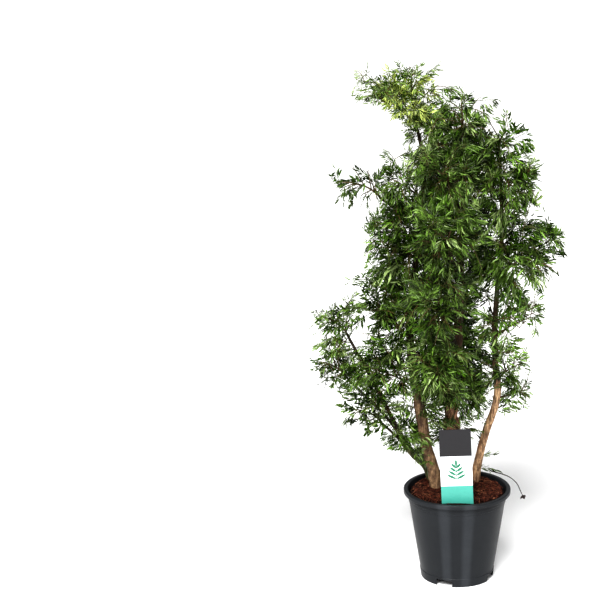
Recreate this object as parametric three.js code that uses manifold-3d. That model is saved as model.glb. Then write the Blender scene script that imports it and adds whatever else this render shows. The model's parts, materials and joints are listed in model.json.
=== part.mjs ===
// A ming aralia in a round nursery pot: four woody stems rise from the soil
// and carry a feathery evergreen crown that leans out to the left.
// Millimetres, +Z up. The origin is on the pot's axis, at the surface that it
// stands on. The plant's front faces -Y, and +X is to its right.

import * as THREE from 'three';
import { mergeVertices } from 'three/addons/utils/BufferGeometryUtils.js';
import Module from 'manifold-3d';

const wasm = await Module();
wasm.setup();

// Driving dimensions

const clearance = 0.3;
const keptApart = 0.25;

const pot = {
  height: 208,
  rimRadius: 120,
  lipHeight: 10,
  lipCorner: 2,
  lipInset: 10,
  collarRadius: 111.2,
  collarHeight: 18,
  collarStep: 1.2,
  footRadius: 81.5,
  footBandHeight: 19,
  footBandStep: 0.8,
  wall: 2.4,
  baseHeight: 16,
  centreFootRadius: 14,
  sides: 36,
  notchWidth: 37,
  notchHeight: 15.5,
  notchTurn: -21,
};

const soil = { plateauHeight: 203, plateauRadius: 92, edgeHeight: 195 };

const label = {
  width: 70,
  top: 375,
  thickness: 1.2,
  panelFoot: 197,
  stakeDepth: 22,
  stakeWidth: 24,
  lean: 2.3,
  foot: [1, -88],
};

const soilLevel = soil.plateauHeight + clearance;

const limbShape = { sides: 7, step: 60, fewestSteps: 3, flareFade: 14, lead: 10, sunk: 6 };

// A bough ends at tipDepth of the way out of its mass, at tipWidth of its foot
const boughShape = { tipDepth: 0.74, tipWidth: 0.62, bend: 0.3, lift: 0.12 };

// A stem's course from its flat foot on the soil up to its fork
const stems = [
  {
    name: 'stem_far_left',
    course: [[-56, 54, soilLevel], [-72, 44, 244], [-97, 30, 274], [-120, 16, 310], [-134, 8, 345]],
    radius: [8.8, 6.6],
    flare: 0.35,
  },
  {
    name: 'stem_left',
    course: [[-46, 15, soilLevel], [-56, 7, 258], [-69, 0, 305], [-77, -6, 362], [-86, -12, 418]],
    radius: [13.4, 12],
    flare: 0.3,
  },
  {
    name: 'trunk_centre',
    course: [[-8, 54, soilLevel], [-10, 52, 260], [-12, 51, 310], [-12, 50, 356]],
    radius: [21.5, 19.5],
    flare: 0.16,
  },
  {
    name: 'stem_right',
    course: [[40, 52, soilLevel], [50, 44, 264], [65, 34, 330], [85, 23, 394], [90, 16, 436], [86, 11, 478]],
    radius: [9.4, 7.6],
    flare: 0.35,
  },
];

// A leader goes on from its stem, from the stem's tip or from its side
const leaders = [
  {
    name: 'leader_left',
    parent: 'stem_left',
    at: 1,
    course: [[-100, -8, 500], [-104, -2, 590], [-94, 0, 700], [-78, -4, 840], [-73, -8, 950], [-92, -14, 1056]],
    radius: [10.4, 3],
  },
  {
    name: 'leader_centre',
    parent: 'trunk_centre',
    at: 1,
    course: [[-2, 38, 440], [2, 20, 560], [6, 8, 700], [12, 2, 850], [14, -6, 950], [12, -26, 1022]],
    radius: [13.5, 3.6],
  },
  {
    name: 'leader_back',
    parent: 'trunk_centre',
    at: 0.62,
    course: [[-20, 82, 380], [-26, 100, 440], [-28, 112, 520], [-22, 114, 650], [-12, 104, 770], [-4, 96, 860]],
    radius: [10.5, 4],
  },
  {
    name: 'leader_right',
    parent: 'stem_right',
    at: 1,
    course: [[82, 2, 560], [86, -6, 660], [95, -12, 770], [94, -14, 880], [88, -12, 990]],
    radius: [7, 2.8],
  },
];

// Each mass of foliage keeps to an ellipsoid. Its stem springs from a limb's
// side or tip, or from a bough that reaches out to it.
const masses = [
  {
    name: 'crest_left', centre: [-168, -30, 1122], size: [68, 56, 50], tint: 'young',
    limb: 'leader_left', at: 0.95, bough: 3, arch: 0.12,
  },
  {
    name: 'crest_heart', centre: [-84, -12, 1112], size: [66, 74, 74], tint: 'lime',
    limb: 'leader_left', at: 1,
  },
  {
    name: 'dome_front', centre: [6, -62, 1058], size: [78, 68, 70], tint: 'deep',
    limb: 'leader_centre', at: 1,
  },
  {
    name: 'dome_right', centre: [74, -10, 1012], size: [62, 82, 72], tint: 'deep',
    limb: 'leader_right', at: 1,
  },
  {
    name: 'dome_back', centre: [8, 82, 1030], size: [90, 76, 76], tint: 'deep',
    limb: 'leader_centre', at: 0.86, bough: 5,
  },
  {
    name: 'arm_left', centre: [-206, -20, 914], size: [78, 58, 52], tint: 'deep',
    limb: 'leader_left', at: 0.6, bough: 5, arch: 0.2,
  },
  {
    name: 'shoulder_left', centre: [-116, -32, 922], size: [64, 78, 78], tint: 'fresh',
    limb: 'leader_left', at: 0.71,
  },
  {
    name: 'high_front', centre: [-24, -96, 954], size: [80, 72, 82], tint: 'fresh',
    limb: 'leader_centre', at: 0.68, bough: 5,
  },
  {
    name: 'high_right', centre: [98, -42, 914], size: [80, 88, 80], tint: 'fresh',
    limb: 'leader_right', at: 0.74,
  },
  {
    name: 'high_back', centre: [-4, 92, 926], size: [108, 84, 92], tint: 'deep',
    limb: 'leader_back', at: 1,
  },
  {
    name: 'mid_left', centre: [-122, -22, 784], size: [84, 86, 92], tint: 'deep',
    limb: 'leader_left', at: 0.5,
  },
  {
    name: 'mid_front', centre: [-24, -118, 822], size: [86, 78, 92], tint: 'fresh',
    limb: 'leader_centre', at: 0.46, bough: 6,
  },
  {
    name: 'mid_right', centre: [126, -38, 770], size: [108, 94, 96], tint: 'deep',
    limb: 'leader_right', at: 0.4, bough: 5,
  },
  {
    name: 'mid_back', centre: [-12, 124, 760], size: [122, 88, 104], tint: 'deep',
    limb: 'leader_back', at: 0.6,
  },
  {
    name: 'low_left', centre: [-154, -20, 640], size: [88, 84, 90], tint: 'deep',
    limb: 'leader_left', at: 0.22,
  },
  {
    name: 'low_front', centre: [-46, -122, 672], size: [90, 78, 90], tint: 'deep',
    limb: 'leader_centre', at: 0.22, bough: 6,
  },
  {
    name: 'low_right', centre: [110, -30, 616], size: [88, 88, 78], tint: 'bright',
    limb: 'leader_right', at: 0.16,
  },
  {
    name: 'low_back', centre: [-14, 126, 600], size: [122, 88, 96], tint: 'deep',
    limb: 'leader_back', at: 0.3,
  },
  {
    name: 'ring_top', centre: [-262, -20, 612], size: [60, 52, 54], tint: 'fresh',
    limb: 'stem_far_left', at: 1, bough: 4.6,
  },
  {
    name: 'ring_side', centre: [-276, -28, 512], size: [48, 50, 68], tint: 'deep',
    limb: 'stem_far_left', at: 0.84, bough: 4, arch: 0.12,
  },
  {
    name: 'skirt_left', centre: [-160, -34, 506], size: [82, 68, 62], tint: 'deep',
    limb: 'leader_left', at: 0.05,
  },
  {
    name: 'skirt_front', centre: [-40, -104, 524], size: [82, 68, 84], tint: 'fresh',
    limb: 'stem_left', at: 0.8, bough: 6,
  },
  {
    name: 'skirt_right', centre: [92, -24, 508], size: [80, 74, 64], tint: 'fresh',
    limb: 'stem_right', at: 0.9,
  },
  {
    name: 'skirt_back', centre: [-10, 100, 470], size: [100, 84, 68], tint: 'deep',
    limb: 'leader_back', at: 0.1,
  },
  {
    name: 'droop_left', centre: [-200, -26, 402], size: [66, 50, 56], tint: 'fresh',
    limb: 'stem_far_left', at: 0.62, bough: 4, arch: 0.16,
  },
  {
    name: 'low_centre', centre: [2, -30, 432], size: [72, 56, 62], tint: 'fresh',
    limb: 'leader_centre', at: 0.06, bough: 4.4,
  },
  {
    name: 'spray_right', centre: [138, 0, 440], size: [38, 36, 34], tint: 'fresh',
    limb: 'stem_right', at: 0.74, bough: 2.6,
  },
];

// Each leaf stands for a spray of leaflets. Its length is a part of its mass's
// least half-size, and one that doesn't fit is tried at the next of the sizes.
const leaf = {
  length: 0.76,
  widthToLength: 0.66,
  thickness: 2.4,
  widest: 0.45,
  droop: 0.12,
  tilt: 1.25,
  spread: 0.3,
  leastLength: 0.5,
  sizes: [1, 0.8, 0.62],
};

// A mass's half-size in steps of sizePerShoot gives its number of shoots. A
// shoot ends at a hub between the mass's middle and the edge that it points to.
const growth = {
  sizePerShoot: 8.2,
  fewestShoots: 5,
  reach: 0.98,
  reachStep: 0.07,
  leastReach: 0.5,
  hub: 0.55,
  share: 0.02,
  roundness: 3,
  spineSegments: 3,
  spineRadius: [4.6, 3],
  slenderSpine: 0.6,
  slenderBough: 4,
  shootRadius: [2.8, 2.4],
  shortestShoot: 16,
  spineSpots: 24,
  bareSpots: 3,
  easyTurn: 0.85,
  budLength: 1.2,
  stub: 3,
  rootSunk: 2,
  kneeRun: 0.4,
  firstSeed: 101,
  seedStep: 37,
};

// The crown's middle line. Masses above its top grow upwards too.
const crown = { foot: [-40, 0, 400], top: [0, 0, 1000], domeRise: 2 };

const goldenAngle = Math.PI * (3 - Math.sqrt(5));

const finish = {
  pot: { color: 0x3b4043, roughness: 0.5 },
  soil: { color: 0x4a2a1c, roughness: 1 },
  plant_label: { color: 0xe9eceb, roughness: 0.4 },
  bark: { color: 0x8a6a48, roughness: 0.9 },
  lime: { color: 0x7f9c2b, roughness: 0.55 },
  young: { color: 0x3f6a24, roughness: 0.5 },
  bright: { color: 0x3d7a24, roughness: 0.5 },
  fresh: { color: 0x2c5e22, roughness: 0.45 },
  deep: { color: 0x1d3f1a, roughness: 0.45 },
};

const up = new THREE.Vector3(0, 0, 1);
const vector = (p) => new THREE.Vector3(...p);

// Closed solids and their joins

function solidOf(geometry) {
  const bare = geometry.clone();
  bare.deleteAttribute('normal');
  bare.deleteAttribute('uv');
  const merged = mergeVertices(bare, 1e-4);
  const index = merged.index.array;
  const faces = [];
  for (let i = 0; i < index.length; i += 3) {
    const [a, b, c] = [index[i], index[i + 1], index[i + 2]];
    if (a !== b && b !== c && c !== a) {
      faces.push(a, b, c);
    }
  }
  return new wasm.Manifold(new wasm.Mesh({
    numProp: 3,
    vertProperties: new Float32Array(merged.attributes.position.array),
    triVerts: new Uint32Array(faces),
  }));
}

function geometryOf(solid) {
  const mesh = solid.getMesh();
  const geometry = new THREE.BufferGeometry();
  geometry.setAttribute('position', new THREE.BufferAttribute(new Float32Array(mesh.vertProperties), 3));
  geometry.setIndex(new THREE.BufferAttribute(new Uint32Array(mesh.triVerts), 1));
  geometry.computeVertexNormals();
  return geometry;
}

// The largest body of a join, with the hollows that it seals filled
function largestBody(solid) {
  const bodies = solid.decompose();
  return bodies.reduce((best, body) => (body.volume() > best.volume() ? body : best));
}

const isClear = (solid, others) => others.every((other) => solid.minGap(other, 2 * clearance) > keptApart);

const plant = new THREE.Group();

function addPiece(name, solid, material) {
  const settings = { metalness: 0, flatShading: true, side: THREE.FrontSide, ...finish[material] };
  const mesh = new THREE.Mesh(geometryOf(solid), new THREE.MeshStandardMaterial(settings));
  mesh.name = name;
  plant.add(mesh);
}

// The pot and its soil, both turned from a half section

function turned(profile) {
  const points = profile.map(([radius, height]) => new THREE.Vector2(radius, height));
  const geometry = new THREE.LatheGeometry(points, pot.sides);
  geometry.rotateX(Math.PI / 2);
  const solid = solidOf(geometry);
  return solid.volume() > 0 ? solid : solidOf(flipped(geometry));
}

function flipped(geometry) {
  const turnedOver = geometry.clone();
  const index = turnedOver.index.array;
  for (let i = 0; i < index.length; i += 3) {
    [index[i + 1], index[i + 2]] = [index[i + 2], index[i + 1]];
  }
  return turnedOver;
}

const collarFoot = pot.height - pot.lipHeight - pot.collarHeight;
const bodyFootRadius = pot.footRadius - pot.footBandStep;
const bodyTopRadius = pot.collarRadius - pot.collarStep;

// Radius of the tapering body's outside at a height
function bodyRadius(height) {
  const along = height / (pot.height - pot.lipHeight);
  return bodyFootRadius + (bodyTopRadius - bodyFootRadius) * along;
}

function potSolid() {
  const lipFoot = pot.height - pot.lipHeight;
  const floorTop = pot.baseHeight + pot.wall;
  const rim = pot.rimRadius;
  const profile = [
    [0, 0],
    [pot.centreFootRadius, 0],
    [pot.centreFootRadius + pot.wall, pot.baseHeight],
    [bodyRadius(pot.baseHeight) - pot.wall, pot.baseHeight],
    [pot.footRadius - pot.wall, 0],
    [pot.footRadius, 0],
    [bodyRadius(pot.footBandHeight) + pot.footBandStep, pot.footBandHeight],
    [bodyRadius(pot.footBandHeight), pot.footBandHeight + pot.footBandStep],
    [bodyRadius(collarFoot), collarFoot],
    [bodyRadius(collarFoot) + pot.collarStep, collarFoot + pot.collarStep],
    [pot.collarRadius, lipFoot],
    [rim - pot.lipCorner, lipFoot],
    [rim, lipFoot + pot.lipCorner],
    [rim, pot.height - 2 * pot.lipCorner],
    [rim - pot.lipCorner, pot.height - pot.lipCorner / 2],
    [rim - 2 * pot.lipCorner, pot.height],
    [rim - pot.lipInset + pot.lipCorner, pot.height],
    [rim - pot.lipInset, pot.height - pot.lipCorner],
    [bodyTopRadius - pot.wall, lipFoot],
    [bodyRadius(floorTop) - pot.wall, floorTop],
    [0, floorTop],
  ];
  let solid = turned(profile);
  for (let quarter = 0; quarter < 4; quarter += 1) {
    const notch = new THREE.BoxGeometry(pot.notchWidth, pot.footRadius / 2, 2 * pot.notchHeight);
    notch.translate(0, -pot.footRadius, 0);
    notch.rotateZ(THREE.MathUtils.degToRad(pot.notchTurn + 90 * quarter));
    solid = solid.subtract(solidOf(notch));
  }
  return solid;
}

function labelShape(grow) {
  const half = label.width / 2 + grow;
  const stake = label.stakeWidth / 2 + grow;
  const foot = label.panelFoot;
  const shape = new THREE.Shape();
  shape.moveTo(-half, foot - grow);
  shape.lineTo(-stake, foot - grow);
  shape.lineTo(0, foot - label.stakeDepth - grow);
  shape.lineTo(stake, foot - grow);
  shape.lineTo(half, foot - grow);
  shape.lineTo(half, label.top + grow);
  shape.lineTo(-half, label.top + grow);
  shape.closePath();
  return shape;
}

function labelSolid(grow) {
  const depth = label.thickness + 2 * grow;
  const geometry = new THREE.ExtrudeGeometry(labelShape(grow), { depth, bevelEnabled: false });
  geometry.translate(0, -soil.edgeHeight, -depth / 2);
  geometry.rotateX(Math.PI / 2);
  geometry.rotateY(THREE.MathUtils.degToRad(-label.lean));
  geometry.translate(label.foot[0], label.foot[1], soil.edgeHeight);
  return solidOf(geometry);
}

function soilSolid() {
  const floor = pot.baseHeight + pot.wall + clearance;
  const profile = [
    [0, floor],
    [bodyRadius(floor) - pot.wall - clearance, floor],
    [bodyRadius(soil.edgeHeight) - pot.wall - clearance, soil.edgeHeight],
    [soil.plateauRadius, soil.plateauHeight],
    [0, soil.plateauHeight],
  ];
  return turned(profile).subtract(labelSolid(1.5 * clearance));
}

// Limbs: a round bar bent along its course, thinner towards the tip

function barAlong(curve, radiusAt, segments, grow) {
  const geometry = new THREE.CylinderGeometry(1, 1, 1, limbShape.sides, segments);
  const frames = curve.computeFrenetFrames(segments, false);
  const points = curve.getSpacedPoints(segments);
  points[0].addScaledVector(frames.tangents[0], -Math.min(grow, clearance));
  points[segments].addScaledVector(frames.tangents[segments], Math.min(grow, clearance));
  const place = geometry.attributes.position;
  for (let i = 0; i < place.count; i += 1) {
    const along = place.getY(i) + 0.5;
    const ring = Math.round(along * segments);
    const radius = radiusAt(along) + grow;
    const spot = points[ring].clone();
    spot.addScaledVector(frames.binormals[ring], place.getX(i) * radius);
    spot.addScaledVector(frames.normals[ring], place.getZ(i) * radius);
    place.setXYZ(i, spot.x, spot.y, spot.z);
  }
  return geometry;
}

const limbs = {};

// A limb's radius along it, with a flare at the root that soon fades
function taper(from, to, flare = 0) {
  return (along) => (from + (to - from) * along) * (1 + flare * Math.exp(-along * limbShape.flareFade));
}

// Each limb keeps a fatter copy of itself, with which later ones are cut clear
function addLimb(name, curve, radiusAt, trim = (solid) => solid) {
  const steps = Math.max(limbShape.fewestSteps, Math.round(curve.getLength() / limbShape.step));
  const fat = solidOf(barAlong(curve, radiusAt, steps, 1.5 * clearance));
  let solid = trim(solidOf(barAlong(curve, radiusAt, steps, 0)));
  for (const earlier of Object.values(limbs)) {
    solid = solid.subtract(earlier.fat);
  }
  limbs[name] = { name, curve, fat, solid: largestBody(solid) };
}

// Everything above a plane that stands clear of a limb's tip
function trimAtTip(limb) {
  const tip = limb.curve.getPointAt(1);
  const ahead = limb.curve.getTangentAt(1);
  return (solid) => solid.trimByPlane(ahead.toArray(), tip.dot(ahead) + clearance);
}

// A course whose first step carries on in the limb's own direction
function courseFrom(limb, at, course) {
  const start = limb.curve.getPointAt(at);
  if (at < 1) {
    return new THREE.CatmullRomCurve3([start, ...course.map(vector)]);
  }
  const ahead = limb.curve.getTangentAt(1);
  const before = start.clone().addScaledVector(ahead, -limbShape.sunk);
  const after = start.clone().addScaledVector(ahead, limbShape.lead);
  return new THREE.CatmullRomCurve3([before, after, ...course.map(vector)]);
}

for (const { name, course, radius, flare } of stems) {
  const curve = new THREE.CatmullRomCurve3(course.map(vector));
  addLimb(name, curve, taper(...radius, flare), (solid) => solid.trimByPlane([0, 0, 1], soilLevel));
}

for (const { name, parent, at, course, radius } of leaders) {
  const limb = limbs[parent];
  addLimb(name, courseFrom(limb, at, course), taper(...radius), at < 1 ? undefined : trimAtTip(limb));
}

// A mass's own space: inside its ellipsoid and nearer to it than to any other

function depthIn(mass, p) {
  const away = [p.x, p.y, p.z].map((value, i) => Math.abs(value - mass.centre[i]) / mass.size[i]);
  const power = growth.roundness;
  return (away[0] ** power + away[1] ** power + away[2] ** power) ** (1 / power);
}

function isInSpace(mass, p) {
  const depth = depthIn(mass, p);
  return depth <= 1 && masses.every((other) => other === mass || depth + growth.share <= depthIn(other, p));
}

// Boughs: each leaves its limb along it, and turns in towards its mass

function boughCurve(mass) {
  const limb = limbs[mass.limb];
  const start = limb.curve.getPointAt(mass.at);
  const centre = vector(mass.centre);
  const tip = centre.clone().lerp(start, boughShape.tipDepth / depthIn(mass, start));
  const bend = boughShape.bend * start.distanceTo(tip);
  const leave = limb.curve.getTangentAt(mass.at).multiplyScalar(bend);
  leave.addScaledVector(tip.clone().sub(start), boughShape.lift);
  const arrive = centre.clone().sub(tip).setLength(bend);
  return new THREE.CubicBezierCurve3(start, start.clone().add(leave), tip.clone().sub(arrive), tip);
}

for (const mass of masses.filter(({ bough }) => bough)) {
  const limb = limbs[mass.limb];
  const radiusAt = taper(mass.bough, boughShape.tipWidth * mass.bough);
  addLimb(`bough_${mass.name}`, boughCurve(mass), radiusAt, mass.at < 1 ? undefined : trimAtTip(limb));
}

// Foliage: twigs that branch from one stem by a seeded rule, with leaves

function randomFrom(seed) {
  let state = seed;
  return () => {
    state = (state * 16807) % 2147483647;
    return state / 2147483647;
  };
}

// Where a mass's stem springs from, the way that it sets off, and its cut
function rootOf(mass) {
  const limb = limbs[mass.bough ? `bough_${mass.name}` : mass.limb];
  const at = mass.bough ? 1 : mass.at;
  const root = limb.curve.getPointAt(at);
  if (at < 1) {
    return { root, cut: (solid) => solid.subtract(limb.fat) };
  }
  const ahead = limb.curve.getTangentAt(1);
  return { root: root.addScaledVector(ahead, -growth.rootSunk), ahead, cut: trimAtTip(limb) };
}

// A stem's course, which ends just short of a place on the mass's edge
function spineCurve(mass, root, ahead, place) {
  const centre = vector(mass.centre);
  const end = centre.clone().lerp(place, growth.hub);
  const run = growth.kneeRun * end.distanceTo(root);
  const knee = ahead ? root.clone().addScaledVector(ahead, run) : root.clone().lerp(centre, 0.5);
  knee.z += (mass.arch ?? 0) * mass.size[2];
  return new THREE.QuadraticBezierCurve3(root, knee, end);
}

// Places near the edge of a mass's space, spread evenly over all sides. The
// first is the one that points away from the middle of the crown.
function targetsOf(mass, random) {
  const halfSize = Math.cbrt(mass.size[0] * mass.size[1] * mass.size[2]);
  const count = Math.max(growth.fewestShoots, Math.round(halfSize / growth.sizePerShoot));
  const pole = outwardOf(mass);
  const turn = new THREE.Quaternion().setFromUnitVectors(up, pole);
  const phase = random() * 2 * Math.PI;
  const targets = [];
  for (let k = 0; k < count; k += 1) {
    const height = 1 - (2 * k) / count;
    const around = phase + goldenAngle * k;
    const wide = Math.sqrt(1 - height * height);
    const way = new THREE.Vector3(wide * Math.cos(around), wide * Math.sin(around), height);
    way.applyQuaternion(turn).multiply(vector(mass.size));
    way.divideScalar(depthIn(mass, vector(mass.centre).add(way)));
    const draws = [random(), random(), random()];
    for (let reach = growth.reach; reach >= growth.leastReach; reach -= growth.reachStep) {
      const place = vector(mass.centre).addScaledVector(way, reach);
      if (isInSpace(mass, place)) {
        targets.push({ place, draws });
        break;
      }
    }
  }
  return targets;
}

// The way from the middle of the crown, which leans with height, to a mass
function outwardOf(mass) {
  const [x, y, z] = mass.centre;
  const along = (z - crown.foot[2]) / (crown.top[2] - crown.foot[2]);
  const middle = vector(crown.foot).lerp(vector(crown.top), along);
  const rise = crown.domeRise * Math.max(0, z - crown.top[2]);
  return new THREE.Vector3(x - middle.x, y - middle.y, rise).normalize();
}

// The place on a spine from which a shoot sets off at an easy angle
function originFor(curve, place) {
  let best;
  let least = Infinity;
  const ahead = curve.getTangent(0.5);
  for (const spot of curve.getPoints(growth.spineSpots).slice(growth.bareSpots)) {
    const away = place.clone().sub(spot);
    const cost = away.length() * (1 + Math.abs(away.angleTo(ahead) - growth.easyTurn));
    if (cost < least) {
      least = cost;
      best = spot;
    }
  }
  return best;
}

// The way ahead and a way across at each point of a line, carried on untwisted
function framesAlong(points) {
  let across = new THREE.Vector3(0.3, 0.2, 1);
  return points.map((point, k) => {
    const before = points[Math.max(k - 1, 0)];
    const after = points[Math.min(k + 1, points.length - 1)];
    const ahead = after.clone().sub(before).normalize();
    across = across.clone().addScaledVector(ahead, -across.dot(ahead)).normalize();
    return { ahead, across };
  });
}

// A three-sided stalk through some points, with a leaf on each face of its tip
// that is given one
function stalkSolid(points, radii, leaves = [], frames = framesAlong(points)) {
  const corners = [];
  points.forEach((point, k) => {
    for (let j = 0; j < 3; j += 1) {
      const out = frames[k].across.clone().applyAxisAngle(frames[k].ahead, 2 * Math.PI * j / 3);
      corners.push(point.clone().addScaledVector(out, radii[k]));
    }
  });
  const last = points.length - 1;
  const faces = [[0, 2, 1]];
  for (let k = 0; k < last; k += 1) {
    for (let j = 0; j < 3; j += 1) {
      const [here, next] = [3 * k + j, 3 * k + (j + 1) % 3];
      faces.push([here, next, next + 3], [here, next + 3, here + 3]);
    }
  }
  const bud = points[last].clone().addScaledVector(frames[last].ahead, growth.budLength * radii[last]);
  corners.push(bud);
  for (let j = 0; j < 3; j += 1) {
    const face = [3 * last + j, 3 * last + (j + 1) % 3, corners.indexOf(bud)];
    if (leaves[j]) {
      addLeaf(corners, faces, face, leaves[j]);
    } else {
      faces.push(face);
    }
  }
  return new wasm.Manifold(new wasm.Mesh({
    numProp: 3,
    vertProperties: new Float32Array(corners.flatMap((corner) => corner.toArray())),
    triVerts: new Uint32Array(faces.flat()),
  }));
}

// A leaf grows out of a face: two edges and a ridge at its widest, then a tip
function addLeaf(corners, faces, [a, b, c], { way, length }) {
  const foot = corners[a].clone().add(corners[b]).multiplyScalar(0.5);
  const side = corners[b].clone().sub(corners[a]);
  side.addScaledVector(way, -side.dot(way)).normalize();
  const ridge = way.clone().cross(side).normalize();
  ridge.multiplyScalar(Math.sign(ridge.dot(corners[c].clone().sub(foot))) || 1);
  const middle = foot.clone().addScaledVector(way, leaf.widest * length);
  const halfWidth = 0.5 * leaf.widthToLength * length;
  const tip = foot.clone().addScaledVector(way, length).addScaledVector(up, -leaf.droop * length);
  const left = corners.push(middle.clone().addScaledVector(side, -halfWidth)) - 1;
  const right = corners.push(middle.clone().addScaledVector(side, halfWidth)) - 1;
  const top = corners.push(middle.clone().addScaledVector(ridge, leaf.thickness)) - 1;
  const end = corners.push(tip) - 1;
  faces.push([a, b, right], [a, right, left], [b, c, top], [b, top, right], [c, a, left], [c, left, top]);
  faces.push([left, right, end], [right, top, end], [top, left, end]);
}

// The three leaves that a stalk's tip may bear: the first reaches out to the
// place on the edge, and the other two lie along the edge
function leavesFor(mass, hub, { ahead, across }, { place, draws }) {
  const length = leaf.length * Math.min(...mass.size);
  const outwards = place.clone().addScaledVector(up, leaf.droop * length).sub(hub);
  const leaves = draws.map((draw, j) => {
    const radial = across.clone().applyAxisAngle(ahead, 2 * Math.PI * (j + 0.5) / 3);
    const part = 1 - leaf.spread / 2 + leaf.spread * draw;
    const way = ahead.clone().multiplyScalar(Math.cos(leaf.tilt * part));
    way.addScaledVector(radial, Math.sin(leaf.tilt * part));
    return { way, length: length * part };
  });
  leaves[0].length = Math.max(leaf.leastLength * length, outwards.length());
  leaves[0].way = outwards.normalize();
  return leaves;
}

function cornersOf(solid) {
  const { vertProperties } = solid.getMesh();
  const corners = [];
  for (let i = 0; i < vertProperties.length; i += 3) {
    corners.push(new THREE.Vector3(...vertProperties.slice(i, i + 3)));
  }
  return corners;
}

// Those leaves of a stalk that stay in the space and touch no other piece and
// no leaf that is there already. One that doesn't is tried smaller.
function keptLeaves(mass, points, radius, target, others) {
  const tipFrame = framesAlong(points).at(-1);
  const hub = points.at(-1);
  const stub = [hub.clone().addScaledVector(tipFrame.ahead, -growth.stub), hub];
  const leaves = [];
  const blades = [];
  leavesFor(mass, hub, tipFrame, target).forEach(({ way, length }, j) => {
    for (const part of leaf.sizes) {
      const only = [];
      only[j] = { way, length: part * length };
      const blade = stalkSolid(stub, [radius, radius], only, [tipFrame, tipFrame]);
      if (cornersOf(blade).every((p) => isInSpace(mass, p)) && isClear(blade, others)) {
        leaves[j] = only[j];
        blades.push(blade);
        break;
      }
    }
  });
  return { leaves, blades };
}

function foliageSolid(mass, seed, standing) {
  const random = randomFrom(seed);
  const { root, ahead, cut } = rootOf(mass);
  const [first, ...others] = targetsOf(mass, random);
  const curve = spineCurve(mass, root, ahead, first.place);
  const slender = mass.bough < growth.slenderBough ? growth.slenderSpine : 1;
  const [thick, thin] = growth.spineRadius.map((radius) => radius * slender);
  const points = curve.getSpacedPoints(growth.spineSegments);
  const radii = points.map((point, k) => thick + (thin - thick) * k / growth.spineSegments);
  const tip = keptLeaves(mass, points, thin, first, standing);
  const blades = [...tip.blades];
  const grown = [cut(stalkSolid(points, radii, tip.leaves))];
  if (!isClear(grown[0], standing)) {
    throw new Error(`the stem of ${mass.name} meets another piece`);
  }
  for (const target of others) {
    const hub = vector(mass.centre).lerp(target.place, growth.hub);
    const origin = originFor(curve, hub);
    const away = hub.clone().sub(origin);
    away.setLength(Math.max(away.length(), growth.shortestShoot));
    const line = [origin, origin.clone().add(away)];
    if (isClear(stalkSolid(line, growth.shootRadius), standing)) {
      const kept = keptLeaves(mass, line, growth.shootRadius[1], target, [...standing, ...blades]);
      grown.push(stalkSolid(line, growth.shootRadius, kept.leaves));
      blades.push(...kept.blades);
    }
  }
  return largestBody(wasm.Manifold.union(grown));
}

// The pieces, each mesh a node of its own

const fixtures = { pot: potSolid(), soil: soilSolid(), plant_label: labelSolid(0) };
const standing = [];

for (const [name, solid] of Object.entries(fixtures)) {
  addPiece(name, solid, name);
  standing.push(solid);
}

for (const { name, solid } of Object.values(limbs)) {
  addPiece(name, solid, 'bark');
  standing.push(solid);
}

masses.forEach((mass, index) => {
  const solid = foliageSolid(mass, growth.firstSeed + growth.seedStep * index, standing);
  addPiece(`foliage_${mass.name}`, solid, mass.tint);
  standing.push(solid);
});

export default plant;
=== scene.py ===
# A ming aralia in a round nursery pot, grown from the same named sizes as its model.
# Sizes are in millimetres where a name or a note says so, and in metres elsewhere.

import json
import math

import bmesh
import bpy
import numpy as np
from mathutils import Matrix, Vector, noise

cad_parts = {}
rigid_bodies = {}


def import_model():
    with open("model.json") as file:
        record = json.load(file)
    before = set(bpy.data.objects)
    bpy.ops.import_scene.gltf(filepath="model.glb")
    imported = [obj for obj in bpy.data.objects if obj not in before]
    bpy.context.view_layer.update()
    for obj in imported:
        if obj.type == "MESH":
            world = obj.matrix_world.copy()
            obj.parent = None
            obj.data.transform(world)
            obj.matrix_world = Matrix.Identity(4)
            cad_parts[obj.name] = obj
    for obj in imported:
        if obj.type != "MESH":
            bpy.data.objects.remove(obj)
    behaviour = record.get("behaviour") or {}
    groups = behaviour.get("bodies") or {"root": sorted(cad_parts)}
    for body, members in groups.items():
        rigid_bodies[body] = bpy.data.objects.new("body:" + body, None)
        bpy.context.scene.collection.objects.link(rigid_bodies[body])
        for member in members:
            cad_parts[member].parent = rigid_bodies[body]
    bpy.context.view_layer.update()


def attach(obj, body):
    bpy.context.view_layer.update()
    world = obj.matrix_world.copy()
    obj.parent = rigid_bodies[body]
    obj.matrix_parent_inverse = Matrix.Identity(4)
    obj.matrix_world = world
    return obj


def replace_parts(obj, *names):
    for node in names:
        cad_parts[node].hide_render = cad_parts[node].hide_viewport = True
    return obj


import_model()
bpy.ops.object.select_all(action="DESELECT")
print("stage: frame loaded")

mm = 0.001
up = Vector((0, 0, 1))
acrossHint = Vector((0.3, 0.2, 1))  # the way that the first side of a stalk faces
fullTurn = 2 * math.pi
goldenAngle = math.pi * (3 - math.sqrt(5))


def dice(seed):  # a small seeded generator, so that every run grows the same plant
    state = seed

    def throw():
        nonlocal state
        state = (state * 16807) % 2147483647
        return state / 2147483647

    return throw


def vary(throw, spread):  # a value from the least one and what chance may add to it
    least, more = spread
    return least + more * throw()


# Short ways to place nodes and join them

def feed(node, values):  # a value may be another node's output
    for key, value in values.items():
        if isinstance(value, bpy.types.NodeSocket):
            node.id_data.links.new(value, node.inputs[key])
        else:
            node.inputs[key].default_value = value


def addNode(tree, kind, values=None, output=0, **settings):  # gives one of the node's outputs
    node = tree.nodes.new("ShaderNode" + kind)
    for key, value in settings.items():
        setattr(node, key, value)
    feed(node, values or {})
    return node.outputs[output]


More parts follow.
